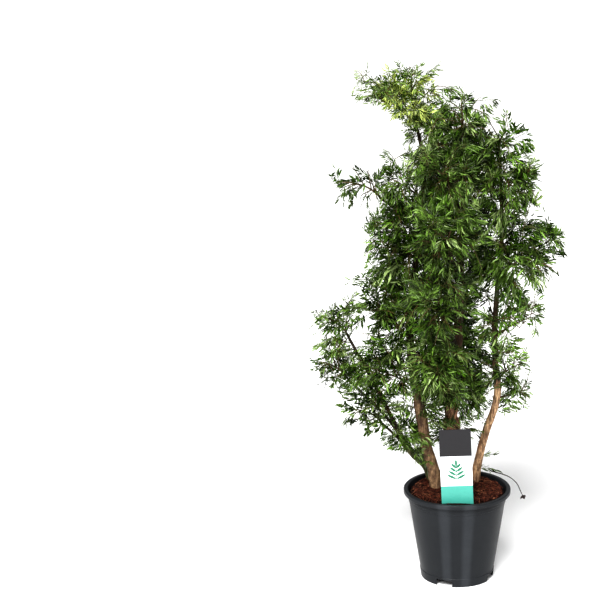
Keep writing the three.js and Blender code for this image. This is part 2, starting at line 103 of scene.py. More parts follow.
def addMath(tree, operation, *values):
    return addNode(tree, "Math", dict(enumerate(values)), operation=operation)


def addRange(tree, value, low, high, toLow, toHigh, **settings):
    values = {"Value": value, "From Min": low, "From Max": high, "To Min": toLow, "To Max": toHigh}
    return addNode(tree, "MapRange", values, **settings)


def addNoise(tree, place, scale, detail, roughness):
    values = {"Vector": place, "Scale": scale, "Detail": detail, "Roughness": roughness}
    return addNode(tree, "TexNoise", values)


def addMix(tree, share, first, second):
    return addNode(tree, "Mix", {"Factor": share, "A": first, "B": second}, "Result", data_type="RGBA")


def addTint(tree, colour, scale):
    return addNode(tree, "VectorMath", {0: colour, "Scale": scale}, operation="SCALE")


# Camera, floor and lights

camera = {
    "place": (-0.036, -4.2, 1.78),
    "turn": (74.912, 1.102, 3.925),  # degrees
    "lens": 118.6,
    "sensor": 36,
    "farthest": 60,
}
studio = {
    "sky": (1.0, 1.0, 1.0, 1),
    "skyStrength": (0.26, 1.0),  # for the light, for the eye
    "floor": {"size": 60, "colour": (0.9, 0.9, 0.9, 1), "roughness": 0.85, "specular": 0.2},
    "sun": {"place": (-0.24, -1.22, 1.35), "strength": 3.7, "softness": 26},  # softness in degrees
    "lights": {  # place, what it looks at, width, height, watts
        "stripLeft": ((-1.78, -3.0, 0.9), (0, 0, 0.5), 0.34, 1.7, 26),
        "stripRight": ((1.55, -3.1, 0.9), (0, 0, 0.5), 0.34, 1.7, 24),
        "backFill": ((0.2, 2.2, 3.1), (0, 0, 0.9), 2.2, 1.6, 30),
    },
}


def newFinish(name, roughness, specular):
    material = bpy.data.materials.new(name)
    material.use_nodes = True
    shader = material.node_tree.nodes["Principled BSDF"]
    feed(shader, {"Roughness": roughness, "Specular IOR Level": specular})
    return material, material.node_tree, shader


def addLamp(name, kind, place, aim, strength):
    bpy.ops.object.light_add(type=kind, location=place)
    lamp = bpy.context.object
    lamp.name = name
    lamp.data.energy = strength
    lamp.rotation_euler = (Vector(aim) - Vector(place)).to_track_quat("-Z", "Y").to_euler()
    return lamp.data


def buildCamera():
    turn = [math.radians(angle) for angle in camera["turn"]]
    bpy.ops.object.camera_add(location=camera["place"], rotation=turn)
    eye = bpy.context.object
    eye.name = "photoCamera"
    eye.data.lens = camera["lens"]
    eye.data.sensor_width = camera["sensor"]
    eye.data.clip_end = camera["farthest"]
    bpy.context.scene.camera = eye


def buildSky():
    world = bpy.data.worlds.new("studioWorld")
    world.use_nodes = True
    tree = world.node_tree
    seen = addNode(tree, "LightPath", output="Is Camera Ray")  # the eye sees white where the floor ends
    strength = addRange(tree, seen, 0.0, 1.0, *studio["skyStrength"])
    feed(tree.nodes["Background"], {"Color": studio["sky"], "Strength": strength})
    bpy.context.scene.world = world


def buildStudio():
    buildCamera()
    look = studio["floor"]
    bpy.ops.mesh.primitive_plane_add(size=look["size"], location=(0, 0, 0))
    floor = bpy.context.object
    floor.name = "studioFloor"
    paint, _, shader = newFinish("paleFloor", look["roughness"], look["specular"])
    feed(shader, {"Base Color": look["colour"]})
    floor.data.materials.append(paint)
    for name, (place, aim, width, height, watts) in studio["lights"].items():
        lamp = addLamp(name, "AREA", place, aim, watts)
        lamp.shape = "RECTANGLE"
        lamp.size = width
        lamp.size_y = height
    sun = studio["sun"]
    lamp = addLamp("softSun", "SUN", sun["place"], (0, 0, 0), sun["strength"])
    lamp.angle = math.radians(sun["softness"])
    buildSky()
    bpy.context.scene.view_settings.view_transform = "Standard"
    bpy.context.scene.view_settings.look = "High Contrast"
    print("stage: camera, floor and lights")


buildStudio()


# Node groups that several finishes share

def newGroup(name, inputs, outputs):
    group = bpy.data.node_groups.new(name, "ShaderNodeTree")
    for label, kind, value in inputs:
        socket = group.interface.new_socket(label, in_out="INPUT", socket_type="NodeSocket" + kind)
        socket.default_value = value
    for label, kind in outputs:
        group.interface.new_socket(label, in_out="OUTPUT", socket_type="NodeSocket" + kind)
    return group, group.nodes.new("NodeGroupInput").outputs, group.nodes.new("NodeGroupOutput")


def makeToneGroup():  # a colour that wanders lighter and darker, and towards a second colour
    inputs = (
        ("Colour", "Color", (0.5, 0.5, 0.5, 1)), ("Second", "Color", (0.3, 0.3, 0.3, 1)),
        ("Scale", "Float", 40.0), ("Amount", "Float", 0.5), ("Contrast", "Float", 0.3),
    )
    group, given, put = newGroup("toneDrift", inputs, (("Colour", "Color"), ("Mask", "Float")))
    place = addNode(group, "TexCoord", output="Object")
    mask = addRange(group, addNoise(group, place, given["Scale"], 4.0, 0.6), 0.35, 0.65, 0.0, 1.0)
    share = addMath(group, "MULTIPLY", mask, given["Amount"])
    colour = addMix(group, share, given["Colour"], given["Second"])
    finer = addMath(group, "MULTIPLY", given["Scale"], 5.3)
    low = addMath(group, "SUBTRACT", 1.0, given["Contrast"])
    high = addMath(group, "ADD", 1.0, given["Contrast"])
    shade = addRange(group, addNoise(group, place, finer, 3.0, 0.7), 0.25, 0.75, low, high)
    feed(put, {"Colour": addTint(group, colour, shade), "Mask": mask})
    return group


def makeReliefGroup():  # a bump from fine noise
    inputs = (
        ("Scale", "Float", 300.0), ("Strength", "Float", 0.2), ("Distance", "Float", 0.001),
        ("Stretch", "Vector", (1.0, 1.0, 1.0)),
    )
    group, given, put = newGroup("fineRelief", inputs, (("Normal", "Vector"),))
    place = addNode(group, "TexCoord", output="Object")
    pull = addNode(group, "VectorMath", {0: place, 1: given["Stretch"]}, operation="MULTIPLY")
    grain = addNoise(group, pull, given["Scale"], 5.0, 0.65)
    values = {"Height": grain, "Strength": given["Strength"], "Distance": given["Distance"]}
    feed(put, {"Normal": addNode(group, "Bump", values)})
    return group


toneDrift = makeToneGroup()
fineRelief = makeReliefGroup()


def placeTone(tree, colour, second, scale, amount, contrast):
    values = {"Colour": colour, "Second": second, "Scale": scale, "Amount": amount, "Contrast": contrast}
    return addNode(tree, "Group", values, "Colour", node_tree=toneDrift)


def placeRelief(tree, scale, strength, distance, stretch=(1.0, 1.0, 1.0)):
    values = {"Scale": scale, "Strength": strength, "Distance": distance, "Stretch": stretch}
    return addNode(tree, "Group", values, "Normal", node_tree=fineRelief)


def mixedFinish(name, colour, second, roughness, specular, drift, relief=None):
    # The drift is its scale, the amount of the second colour and the contrast;
    # the relief is its scale, strength and distance
    material, tree, shader = newFinish(name, roughness, specular)
    feed(shader, {"Base Color": placeTone(tree, colour, second, *drift)})
    if relief:
        feed(shader, {"Normal": placeRelief(tree, *relief)})
    return material


def selectOnly(thing):
    bpy.ops.object.select_all(action="DESELECT")
    thing.select_set(True)
    bpy.context.view_layer.objects.active = thing


def settle(thing, smooth, finish=None):  # its place is applied, then it gets shading and finish
    selectOnly(thing)
    bpy.ops.object.transform_apply(location=True, rotation=True, scale=True)
    if finish:
        thing.data.materials.clear()
        thing.data.materials.append(finish)
    bpy.ops.object.shade_smooth_by_angle(angle=math.radians(smooth))
    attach(thing, "root")


def applyModifiers(thing):
    selectOnly(thing)
    for modifier in list(thing.modifiers):
        bpy.ops.object.modifier_apply(modifier=modifier.name)


def turnOutwards():  # called in edit mode, which it leaves
    bpy.ops.mesh.select_all(action="SELECT")
    bpy.ops.mesh.normals_make_consistent(inside=False)
    bpy.ops.object.mode_set(mode="OBJECT")


# The pot: one ring drawn up the outside, over the lip and down the inside

potShape = {  # millimetres
    "sides": 144,
    "rings": [
        (14, 0), (16.4, 16), (80.6, 16), (79.1, 0), (81.5, 0), (83.9, 19), (83.2, 19.8),
        (108.1, 180.0), (109.2, 180.8), (109.4, 183.2), (109.9, 186.9), (110.6, 187.6), (111.2, 198.0),
    ],
    "lip": {  # its height, its two radii and how they are rounded
        "foot": 198.0, "top": 208.0, "outer": 120.0, "inner": 110.0,
        "round": 2.6, "lowRound": 1.2, "undercut": 1.6, "steps": 4,
    },
    "inside": [(107.8, 197.0), (107.4, 190.0), (106.6, 181.5), (82.0, 18.4)],
    "notches": {
        "count": 4, "turn": -21, "at": 81.5, "width": 37, "height": 15.5, "depth": 40, "corner": 1.6,
    },
    "smooth": 28,  # degrees
    "look": {
        "colour": (0.0200, 0.0215, 0.0238, 1),
        "worn": (0.026, 0.028, 0.031, 1),
        "specular": 0.17,
        "roughness": (0.36, 0.47),
        "drift": (9.0, 0.5, 0.05),
        "relief": (900.0, 0.12, 0.0004),
        # Painted highlight: soft upright light bands in the colour, how light they are, and where they
        # fade to the sides
        "bands": {
            "turns": 12.4, "start": 3.42, "least": -0.6, "low": 1.06, "high": 1.78, "fade": (0.40, 0.60),
        },
    },
}


def potFinish():
    look = potShape["look"]
    bands = look["bands"]
    material, tree, shader = newFinish("potPlastic", look["roughness"][0], look["specular"])
    tone = placeTone(tree, look["colour"], look["worn"], *look["drift"])
    place = addNode(tree, "TexCoord", output="Object")
    across = addNode(tree, "SeparateXYZ", {"Vector": place}, "X")
    back = addMath(tree, "MULTIPLY", across.node.outputs["Y"], -1.0)
    around = addMath(tree, "ARCTAN2", across, back)
    # Painted highlight: upright bands lighten the colour, most at the front, fading away to the sides
    wave = addMath(tree, "COSINE", addMath(tree, "MULTIPLY_ADD", around, bands["turns"], bands["start"]))
    swell = addRange(tree, wave, bands["least"], 1.0, 0.0, 1.0, interpolation_type="SMOOTHSTEP")
    aside = addMath(tree, "ABSOLUTE", around)
    fade = addRange(tree, aside, *bands["fade"], bands["high"] - bands["low"], 0.0)
    sheenLight = addMath(tree, "MULTIPLY_ADD", swell, fade, bands["low"])
    feed(shader, {
        "Base Color": addTint(tree, tone, sheenLight),
        "Roughness": addRange(tree, tone.node.outputs["Mask"], 0.0, 1.0, *look["roughness"]),
        "Normal": placeRelief(tree, *look["relief"]),
    })
    return material


def lipRings(lip):  # the rolled lip's section, from under its outer edge to its inner one
    bend, small = lip["round"], lip["lowRound"]
    rings = [(lip["outer"] - lip["undercut"], lip["foot"])]
    arcs = (
        (lip["outer"] - small, lip["foot"] + small, small, -90, 0),
        (lip["outer"] - bend, lip["top"] - bend, bend, 0, 90),
        (lip["inner"] + bend, lip["top"] - bend, bend, 90, 180),
    )
    for across, height, radius, start, end in arcs:
        for step in range(lip["steps"] + 1):
            angle = math.radians(start + (end - start) * step / lip["steps"])
            rings.append((across + radius * math.cos(angle), height + radius * math.sin(angle)))
    return rings


def drawRings(rings, sides, name):  # a closed solid of rings about the Z axis, filled at both ends
    radius, height = rings[0]
    bpy.ops.mesh.primitive_circle_add(vertices=sides, radius=radius * mm, location=(0, 0, height * mm))
    thing = bpy.context.object
    thing.name = name
    bpy.ops.object.mode_set(mode="EDIT")
    bpy.ops.mesh.select_all(action="SELECT")
    bpy.ops.mesh.edge_face_add()
    for wider, higher in rings[1:]:
        rise = (0, 0, (higher - height) * mm)
        bpy.ops.mesh.extrude_region_move(TRANSFORM_OT_translate={"value": rise})
        bpy.ops.transform.resize(value=(wider / radius, wider / radius, 1))
        radius, height = wider, higher
    bpy.ops.mesh.select_all(action="SELECT")
    bpy.ops.mesh.remove_doubles(threshold=0.00001)
    turnOutwards()
    return thing


def buildPot():
    rings = potShape["rings"] + lipRings(potShape["lip"]) + potShape["inside"]
    pot = drawRings(rings, potShape["sides"], "potShell")
    notches = potShape["notches"]
    at = notches["at"] * mm
    for number in range(notches["count"]):
        angle = math.radians(notches["turn"] + 360 / notches["count"] * number)
        bpy.ops.mesh.primitive_cube_add(size=1)
        cutter = bpy.context.object
        cutter.scale = (notches["width"] * mm, notches["depth"] * mm, 2 * notches["height"] * mm)
        cutter.location = (math.sin(angle) * at, -math.cos(angle) * at, 0)
        cutter.rotation_euler = (0, 0, angle)
        bpy.ops.object.transform_apply(location=True, rotation=True, scale=True)
        rounding = cutter.modifiers.new("round", "BEVEL")
        rounding.width = notches["corner"] * mm
        rounding.segments = 3
        applyModifiers(cutter)
        cut = pot.modifiers.new("notch", "BOOLEAN")
        cut.operation = "DIFFERENCE"
        cut.object = cutter
        cut.solver = "EXACT"
        applyModifiers(pot)
        bpy.data.objects.remove(cutter)
    settle(pot, potShape["smooth"], potFinish())
    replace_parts(pot, "pot")
    print("stage: pot")


buildPot()


# Joined meshes of many small things, made from arrays

def meshFromArrays(name, points, faces, finish, slot, smooth=True, spread=None, marks=None):
    mesh = bpy.data.meshes.new(name)
    points = np.asarray(points, dtype=np.float32)
    faces = np.asarray(faces, dtype=np.int32)
    mesh.vertices.add(len(points))
    mesh.vertices.foreach_set("co", points.ravel())
    mesh.loops.add(faces.size)
    mesh.loops.foreach_set("vertex_index", faces.ravel())
    mesh.polygons.add(len(faces))
    mesh.polygons.foreach_set("loop_start", np.arange(0, faces.size, 3, dtype=np.int32))
    if spread is not None:
        layer = mesh.uv_layers.new(name="leafMap")
        layer.data.foreach_set("uv", spread[faces.ravel()].astype(np.float32).ravel())
    if marks is not None:
        layer = mesh.attributes.new("leafMark", "FLOAT", "POINT")
        layer.data.foreach_set("value", marks.astype(np.float32))
    mesh.polygons.foreach_set("use_smooth", np.full(len(faces), smooth))
    mesh.update(calc_edges=True)
    mesh.materials.append(finish)
    thing = bpy.data.objects.new(name, mesh)
    bpy.context.scene.collection.objects.link(thing)
    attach(thing, "root")
    return thing


def ringAround(across, side, sides):  # the ways from a line to the points of the ring around it
    for j in range(sides):
        turn = fullTurn * j / sides
        yield across * math.cos(turn) + side * math.sin(turn)


def ringFaces(first, sides, steps):  # the triangles between rings of points
    faces = []
    for k in range(steps):
        for j in range(sides):
            here, beside = first + k * sides + j, first + k * sides + (j + 1) % sides
            faces.append((here, beside, beside + sides))
            faces.append((here, beside + sides, here + sides))
    return faces


class Stalks:  # three-sided stalks gathered for one mesh, in millimetres

    def __init__(self):
        self.points = []
        self.faces = []

    def add(self, line, widths):
        across = acrossHint
        first = len(self.points)
        last = len(line) - 1
        for k, spot in enumerate(line):
            ahead = (line[min(k + 1, last)] - line[max(k - 1, 0)]).normalized()
            across = (across - ahead * across.dot(ahead)).normalized()
            for out in ringAround(across, ahead.cross(across), 3):
                self.points.append(spot + out * widths[k])
        end = first + 3 * last
        self.faces += [(first, first + 2, first + 1), *ringFaces(first, 3, last), (end, end + 1, end + 2)]

    def follow(self, line, widths):  # a stalk along a line, read at even shares of it
        last = len(widths) - 1
        self.add([line.at(k / last) for k in range(last + 1)], widths)

    def build(self, name, finish, slot):
        points = np.array([tuple(p) for p in self.points]) * mm
        return meshFromArrays(name, points, self.faces, finish, slot)


# The potting mix: a lumpy bed with coir fibres and chips of bark lying on it

soilShape = {  # millimetres
    "sides": 96,
    "rings": [(86, 60), (104.6, 198.5), (102, 200), (97, 201.5), (90, 203.0)],
    "innerSteps": 13,
    "innermost": 2,
    "topFrom": 190,
    "crown": 204.5,
    "edge": 198.5,
    "shoulder": (104.5, 16),  # where it starts and how far in it runs
    "lumps": 4.2,
    "edgeLumps": 0.25,
    "bumps": ((0.05, 1), (0.16, 0.55), (0.45, 0.3)),  # fineness, share
    "labelGap": (45, -80),  # bare and lower in front of the label
    "labelDip": 5.5,
    "dipEdge": 6,
    "smooth": 60,  # degrees
    "litter": {  # lengths and widths are the least, what may be added and how rarely
        "seed": 4711,
        "fibre": {"count": 3000, "length": (8, 24, 1.4), "width": (0.26, 0.34)},
        "chip": {"count": 760, "length": (3, 5, 1), "width": (1.1, 1.3)},
        "within": (103, 103.5),  # radii that hold the foot and the tip
        "curl": 1.6,
        "arch": 0.20,
        "lift": 0.35,
        "profile": (1, 1.15, 1.05, 0.7),  # thickness along a fibre
        "shares": (0.5, 0.78),  # of the first colour, and of the second in what is left
    },
    "look": {  # a finish is roughness, specular, drift and relief
        "bed": (0.020, 0.0075, 0.005, 1),
        "bedDark": (0.005, 0.0025, 0.002, 1),
        "bedFinish": (0.95, 0.2, (60.0, 0.8, 0.5), (420.0, 0.9, 0.002)),
        "coirFinish": (0.8, 0.25, (110.0, 0.55, 0.35)),
        "coirColours": {
            "coirRed": (0.130, 0.038, 0.020, 1),
            "coirBrown": (0.045, 0.015, 0.009, 1),
            "coirPale": (0.30, 0.130, 0.070, 1),
        },
    },
}


def ramp(value):
    return min(1.0, max(0.0, value))


def soilHeight(x, y):  # how high the bed stands, in millimetres
    look = soilShape
    start, run = look["shoulder"]
    shoulder = ramp((start - math.hypot(x, y)) / run)
    base = look["edge"] + (look["crown"] - look["edge"]) * shoulder * (2 - shoulder)
    place = Vector((x, y, 0))
    bumps = sum(share * noise.noise(place * fineness) for fineness, share in look["bumps"])
    wide, front = look["labelGap"]
    dip = ramp((front - y) / look["dipEdge"]) * ramp((wide - abs(x)) / look["dipEdge"])
    lumps = look["lumps"] * bumps * min(1.0, look["edgeLumps"] + shoulder) * (1 - dip)
    return base + lumps - look["labelDip"] * dip


def layCoir(piles):
    litter = soilShape["litter"]
    throw = dice(litter["seed"])
    names = list(piles)
    widest, farthest = litter["within"]
    gapWide, gapFront = soilShape["labelGap"]
    fibres = litter["fibre"]["count"]
    last = len(litter["profile"]) - 1
    for k in range(fibres + litter["chip"]["count"]):
        look = litter["chip" if k >= fibres else "fibre"]
        radius = widest * math.sqrt(throw())
        turn = fullTurn * throw()
        x, y = radius * math.cos(turn), radius * math.sin(turn)
        way = fullTurn * throw()
        least, more, rarity = look["length"]
        length = least + more * throw() ** rarity
        if math.hypot(x + length * math.cos(way), y + length * math.sin(way)) > farthest:
            continue
        if abs(x) < gapWide and y < gapFront:
            continue
        bend, lift = throw() - 0.5, throw()
        line = []
        for step in range(last + 1):
            along = step / last
            angle = way + bend * litter["curl"] * along
            px, py = x + length * along * math.cos(angle), y + length * along * math.sin(angle)
            arch = 4 * along * (1 - along) * lift * length * litter["arch"]
            line.append(Vector((px, py, soilHeight(px, py) + litter["lift"] + arch)))
        thick = vary(throw, look["width"])
        most, second = litter["shares"]
        name = names[0 if throw() < most else 1 if throw() < second else 2]
        piles[name].add(line, [thick * share for share in litter["profile"]])


def buildSoil():
    rings = list(soilShape["rings"])
    plateau, inner = rings[-1][0], soilShape["innerSteps"] - 1
    for step in range(1, inner + 1):
        rings.append((plateau - (plateau - soilShape["innermost"]) * step / inner, soilShape["crown"]))
    bed = drawRings(rings, soilShape["sides"], "soilBed")
    for spot in bed.data.vertices:
        if spot.co.z > soilShape["topFrom"] * mm:
            spot.co.z = soilHeight(spot.co.x / mm, spot.co.y / mm) * mm
    look = soilShape["look"]
    finish = mixedFinish("soilCrust", look["bed"], look["bedDark"], *look["bedFinish"])
    settle(bed, soilShape["smooth"], finish)
    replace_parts(bed, "soil")
    piles = {name: Stalks() for name in look["coirColours"]}
    layCoir(piles)
    for name, colour in look["coirColours"].items():
        finish = mixedFinish(name, colour, look["bed"], *look["coirFinish"])
        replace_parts(piles[name].build(name + "Fibres", finish, "soil"), "soil")
    print("stage: soil")


buildSoil()


# The plant label: a plastic card in three plain fields, with a sprig on the middle one

labelShape = {  # millimetres; z is above the floor before the card leans
    "width": 70,
    "thickness": 1.0,
    "bottom": 197,
    "top": 375,
    "stake": (24, 22),  # width and depth
    "stakeTip": 0.2,
    "corner": 3.0,
    "cornerSteps": 5,
    "fields": (244, 313),
    "lean": 2.3,  # degrees
    "foot": (1, -88, 195),
    "smooth": 30,  # degrees
    "sprig": {  # on the middle field
        "below": 9, "above": 7,
        "stalk": 0.7, "stalkStop": 15,
        "pairs": 4, "first": 7, "step": 8.5,
        "reach": 21, "shorter": 3.5, "rise": 11,
        "leaf": 6.0, "topLeaf": 17,
        "shares": (0.2, 0.45, 0.75, 1.0), "roundness": 0.8, "bluntest": 0.97,
        "proud": 0.12, "sunk": 0.2,
    },
    "look": {
        "finish": (0.32, 0.5, (20.0, 0.0, 0.04), (700.0, 0.05, 0.0003)),  # as the soil's
        "colours": {  # the card's three fields from below, then the sprig
            "labelTeal": (0.075, 0.34, 0.28, 1),
            "labelWhite": (0.86, 0.88, 0.89, 1),
            "labelCharcoal": (0.016, 0.015, 0.017, 1),
            "labelSprig": (0.030, 0.17, 0.10, 1),
        },
    },
}


def drawCard():
    look = labelShape
    bpy.ops.mesh.primitive_cube_add(size=1)
    card = bpy.context.object
    card.name = "plantLabelCard"
    height = look["top"] - look["bottom"]
    card.scale = (look["width"] * mm, look["thickness"] * mm, height * mm)
    card.location = (0, 0, (look["bottom"] + height / 2) * mm)
    bpy.ops.object.transform_apply(location=True, rotation=True, scale=True)
    bpy.ops.object.mode_set(mode="EDIT")
    bpy.ops.mesh.select_all(action="DESELECT")
    for edge in bmesh.from_edit_mesh(card.data).edges:
        a, b = edge.verts
        isThrough = abs(a.co.y - b.co.y) > look["thickness"] * mm / 2
        edge.select = isThrough and a.co.z > (look["top"] - 1) * mm
    bpy.ops.mesh.bevel(offset=look["corner"] * mm, segments=look["cornerSteps"], affect="EDGES")
    bpy.ops.mesh.select_all(action="DESELECT")
    for face in bmesh.from_edit_mesh(card.data).faces:
        face.select = face.normal.z < -0.9
    wide, deep = look["stake"]
    bpy.ops.mesh.inset(thickness=0)
    bpy.ops.transform.resize(value=(wide / look["width"], 1, 1))
    bpy.ops.mesh.extrude_region_move(TRANSFORM_OT_translate={"value": (0, 0, -deep * mm)})
    bpy.ops.transform.resize(value=(look["stakeTip"], 1, 1))
    for level in look["fields"]:
        bpy.ops.mesh.select_all(action="SELECT")
        bpy.ops.mesh.bisect(plane_co=(0, 0, level * mm), plane_no=(0, 0, 1))
    bpy.ops.object.mode_set(mode="OBJECT")
    return card


def sprigBlades():  # foot, tip, width, and half the width where it stays the same
    look = labelShape["sprig"]
    low, high = labelShape["fields"]
    foot, tip = low + look["below"], high - look["above"]
    blades = [((0, foot), (0, tip - look["stalkStop"]), 0, look["stalk"])]
    for hand in (-1, 1):
        for step in range(look["pairs"]):
            start = foot + look["first"] + look["step"] * step
            reach = hand * (look["reach"] - look["shorter"] * step)
            blades.append(((0, start), (reach, start + look["rise"]), look["leaf"], 0))
    blades.append(((0, tip - look["topLeaf"]), (0, tip), look["leaf"], 0))
    return blades


def drawSprig(paint):
    look = labelShape["sprig"]
    points, faces = [], []
    front = -labelShape["thickness"] / 2
    for (ax, az), (bx, bz), width, even in sprigBlades():
        run = Vector((bx - ax, bz - az))
        side = Vector((-run.y, run.x)).normalized()
        outline = [(ax, az)]
        for hand, shares in ((1, look["shares"]), (-1, look["shares"][::-1])):
            for share in shares:
                swell = math.sin(math.pi * min(share, look["bluntest"])) ** look["roundness"]
                half = hand * (even or width * swell / 2)
                outline.append((ax + run.x * share + side.x * half, az + run.y * share + side.y * half))
        first, count = len(points), len(outline)
        points += [(x * mm, (front - look["proud"]) * mm, z * mm) for x, z in outline]
        points += [(x * mm, (front + look["sunk"]) * mm, z * mm) for x, z in outline]
        for k in range(1, count - 1):
            faces.append((first, first + k + 1, first + k))
            faces.append((first + count, first + count + k, first + count + k + 1))
        for k in range(count):
            beside = (k + 1) % count
            faces.append((first + k, first + beside, first + count + beside))
            faces.append((first + k, first + count + beside, first + count + k))
    sprig = meshFromArrays("plantLabelSprig", points, faces, paint, "plant_label", smooth=False)
    selectOnly(sprig)
    bpy.ops.object.mode_set(mode="EDIT")
    turnOutwards()
    return sprig


def buildLabel():
    look = labelShape["look"]
    colours = look["colours"].items()
    paints = [mixedFinish(name, colour, colour, *look["finish"]) for name, colour in colours]
    card = drawCard()
    for paint in paints[:3]:
        card.data.materials.append(paint)
    for face in card.data.polygons:
        face.material_index = sum(face.center.z / mm >= level for level in labelShape["fields"])
    foot = Vector(labelShape["foot"]) * mm
    lean = Matrix.Rotation(math.radians(-labelShape["lean"]), 4, "Y")
    place = Matrix.Translation(foot) @ lean @ Matrix.Translation((0, 0, -foot.z))
    sprig = drawSprig(paints[3])
    for thing in (card, sprig):
        thing.data.transform(place)
    settle(card, labelShape["smooth"])
    for thing in (card, sprig):
        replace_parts(thing, "plant_label")
    print("stage: label")


buildLabel()


# Lines: the limbs' courses, read by the share of their length

class Line:

    def __init__(self, points):
        self.points = points
        self.sums = [0.0]
        for near, far in zip(points, points[1:]):
            self.sums.append(self.sums[-1] + (far - near).length)
        self.length = self.sums[-1]

    def find(self, share):
        goal = share * self.length
        k = 0
        while k < len(self.sums) - 2 and self.sums[k + 1] < goal:
            k += 1
        return k, (goal - self.sums[k]) / (self.sums[k + 1] - self.sums[k])

    def at(self, share):
        k, part = self.find(share)
        return self.points[k].lerp(self.points[k + 1], part)

    def ahead(self, share):
        k, _ = self.find(share)
        return (self.points[k + 1] - self.points[k]).normalized()


def smoothLine(course, fineness=60):  # a centripetal curve through the places of a course
    spots = [Vector(p) for p in course]
    spots = [2 * spots[0] - spots[1], *spots, 2 * spots[-1] - spots[-2]]
    points = []
    for a, b, c, d in zip(spots, spots[1:], spots[2:], spots[3:]):
        first, middle, last = ((far - near).length ** 0.5 for near, far in ((a, b), (b, c), (c, d)))
        leave = ((b - a) / first - (c - a) / (first + middle) + (c - b) / middle) * middle
        arrive = ((c - b) / middle - (d - b) / (middle + last) + (d - c) / last) * middle
        for step in range(fineness):
            t = step / fineness
            bend = leave * t + (3 * (c - b) - 2 * leave - arrive) * t ** 2
            points.append(b + bend + (2 * (b - c) + leave + arrive) * t ** 3)
    points.append(spots[-2])
    return Line(points)


def bentLine(start, *pulls, fineness=60):  # a Bezier curve of three or four places
    points = []
    for step in range(fineness + 1):
        t = step / fineness
        row = [start, *pulls]
        while len(row) > 1:
            row = [a.lerp(b, t) for a, b in zip(row, row[1:])]
        points.append(row[0])
    return Line(points)


# The limbs' named sizes, in millimetres, as the model has them

soilTop = 203.3
stems = {
    "stem_far_left": {
        "course": ((-56, 54, soilTop), (-72, 44, 244), (-97, 30, 274), (-120, 16, 310), (-134, 8, 345)),
        "radius": (8.8, 6.6), "flare": 0.35, "bark": "barkMossy",
    },
    "stem_left": {
        "course": ((-46, 15, soilTop), (-56, 7, 258), (-69, 0, 305), (-77, -6, 362), (-86, -12, 418)),
        "radius": (13.4, 12), "flare": 0.3, "bark": "barkTan",
    },
    "trunk_centre": {
        "course": ((-8, 54, soilTop), (-10, 52, 260), (-12, 51, 310), (-12, 50, 356)),
        "radius": (21.5, 19.5), "flare": 0.16, "bark": "barkRed",
    },
    "stem_right": {
        "course": (
            (40, 52, soilTop), (50, 44, 264), (65, 34, 330), (85, 23, 394), (90, 16, 436), (86, 11, 478),
        ),
        "radius": (9.4, 7.6), "flare": 0.35, "bark": "barkOrange",
    },
}
leaders = {
    "leader_left": {
        "parent": "stem_left", "at": 1, "radius": (10.4, 3), "bark": "barkTan",
        "course": (
            (-100, -8, 500), (-104, -2, 590), (-94, 0, 700),
            (-78, -4, 840), (-73, -8, 950), (-92, -14, 1056),
        ),
    },
    "leader_centre": {
        "parent": "trunk_centre", "at": 1, "radius": (13.5, 3.6), "bark": "barkRed",
        "course": ((-2, 38, 440), (2, 20, 560), (6, 8, 700), (12, 2, 850), (14, -6, 950), (12, -26, 1022)),
    },
    "leader_back": {
        "parent": "trunk_centre", "at": 0.62, "radius": (10.5, 4), "bark": "barkDark",
        "course": (
            (-20, 82, 380), (-26, 100, 440), (-28, 112, 520),
            (-22, 114, 650), (-12, 104, 770), (-4, 96, 860),
        ),
    },
    "leader_right": {
        "parent": "stem_right", "at": 1, "radius": (7, 2.8), "bark": "barkOrange",
        "course": ((82, 2, 560), (86, -6, 660), (95, -12, 770), (94, -14, 880), (88, -12, 990)),
    },
}
limbShape = {"flareFade": 14, "sunk": 6, "lead": 10}
boughShape = {"tipDepth": 0.74, "tipWidth": 0.62, "bend": 0.3, "lift": 0.12}
growth = {
    "sizePerShoot": 8.2, "fewestShoots": 5, "reach": 0.98, "reachStep": 0.07, "leastReach": 0.5,
    "hub": 0.55, "share": 0.02, "roundness": 3, "rootSunk": 2, "kneeRun": 0.4, "kneeShare": 0.5,
    "spineSpots": 24, "bareSpots": 3, "easyTurn": 0.85, "firstSeed": 101, "seedStep": 37, "draws": 3,
}
crown = {"foot": Vector((-40, 0, 400)), "top": Vector((0, 0, 1000)), "domeRise": 2}
massWords = ("centre", "size", "limb", "at", "tint", "bough", "arch")
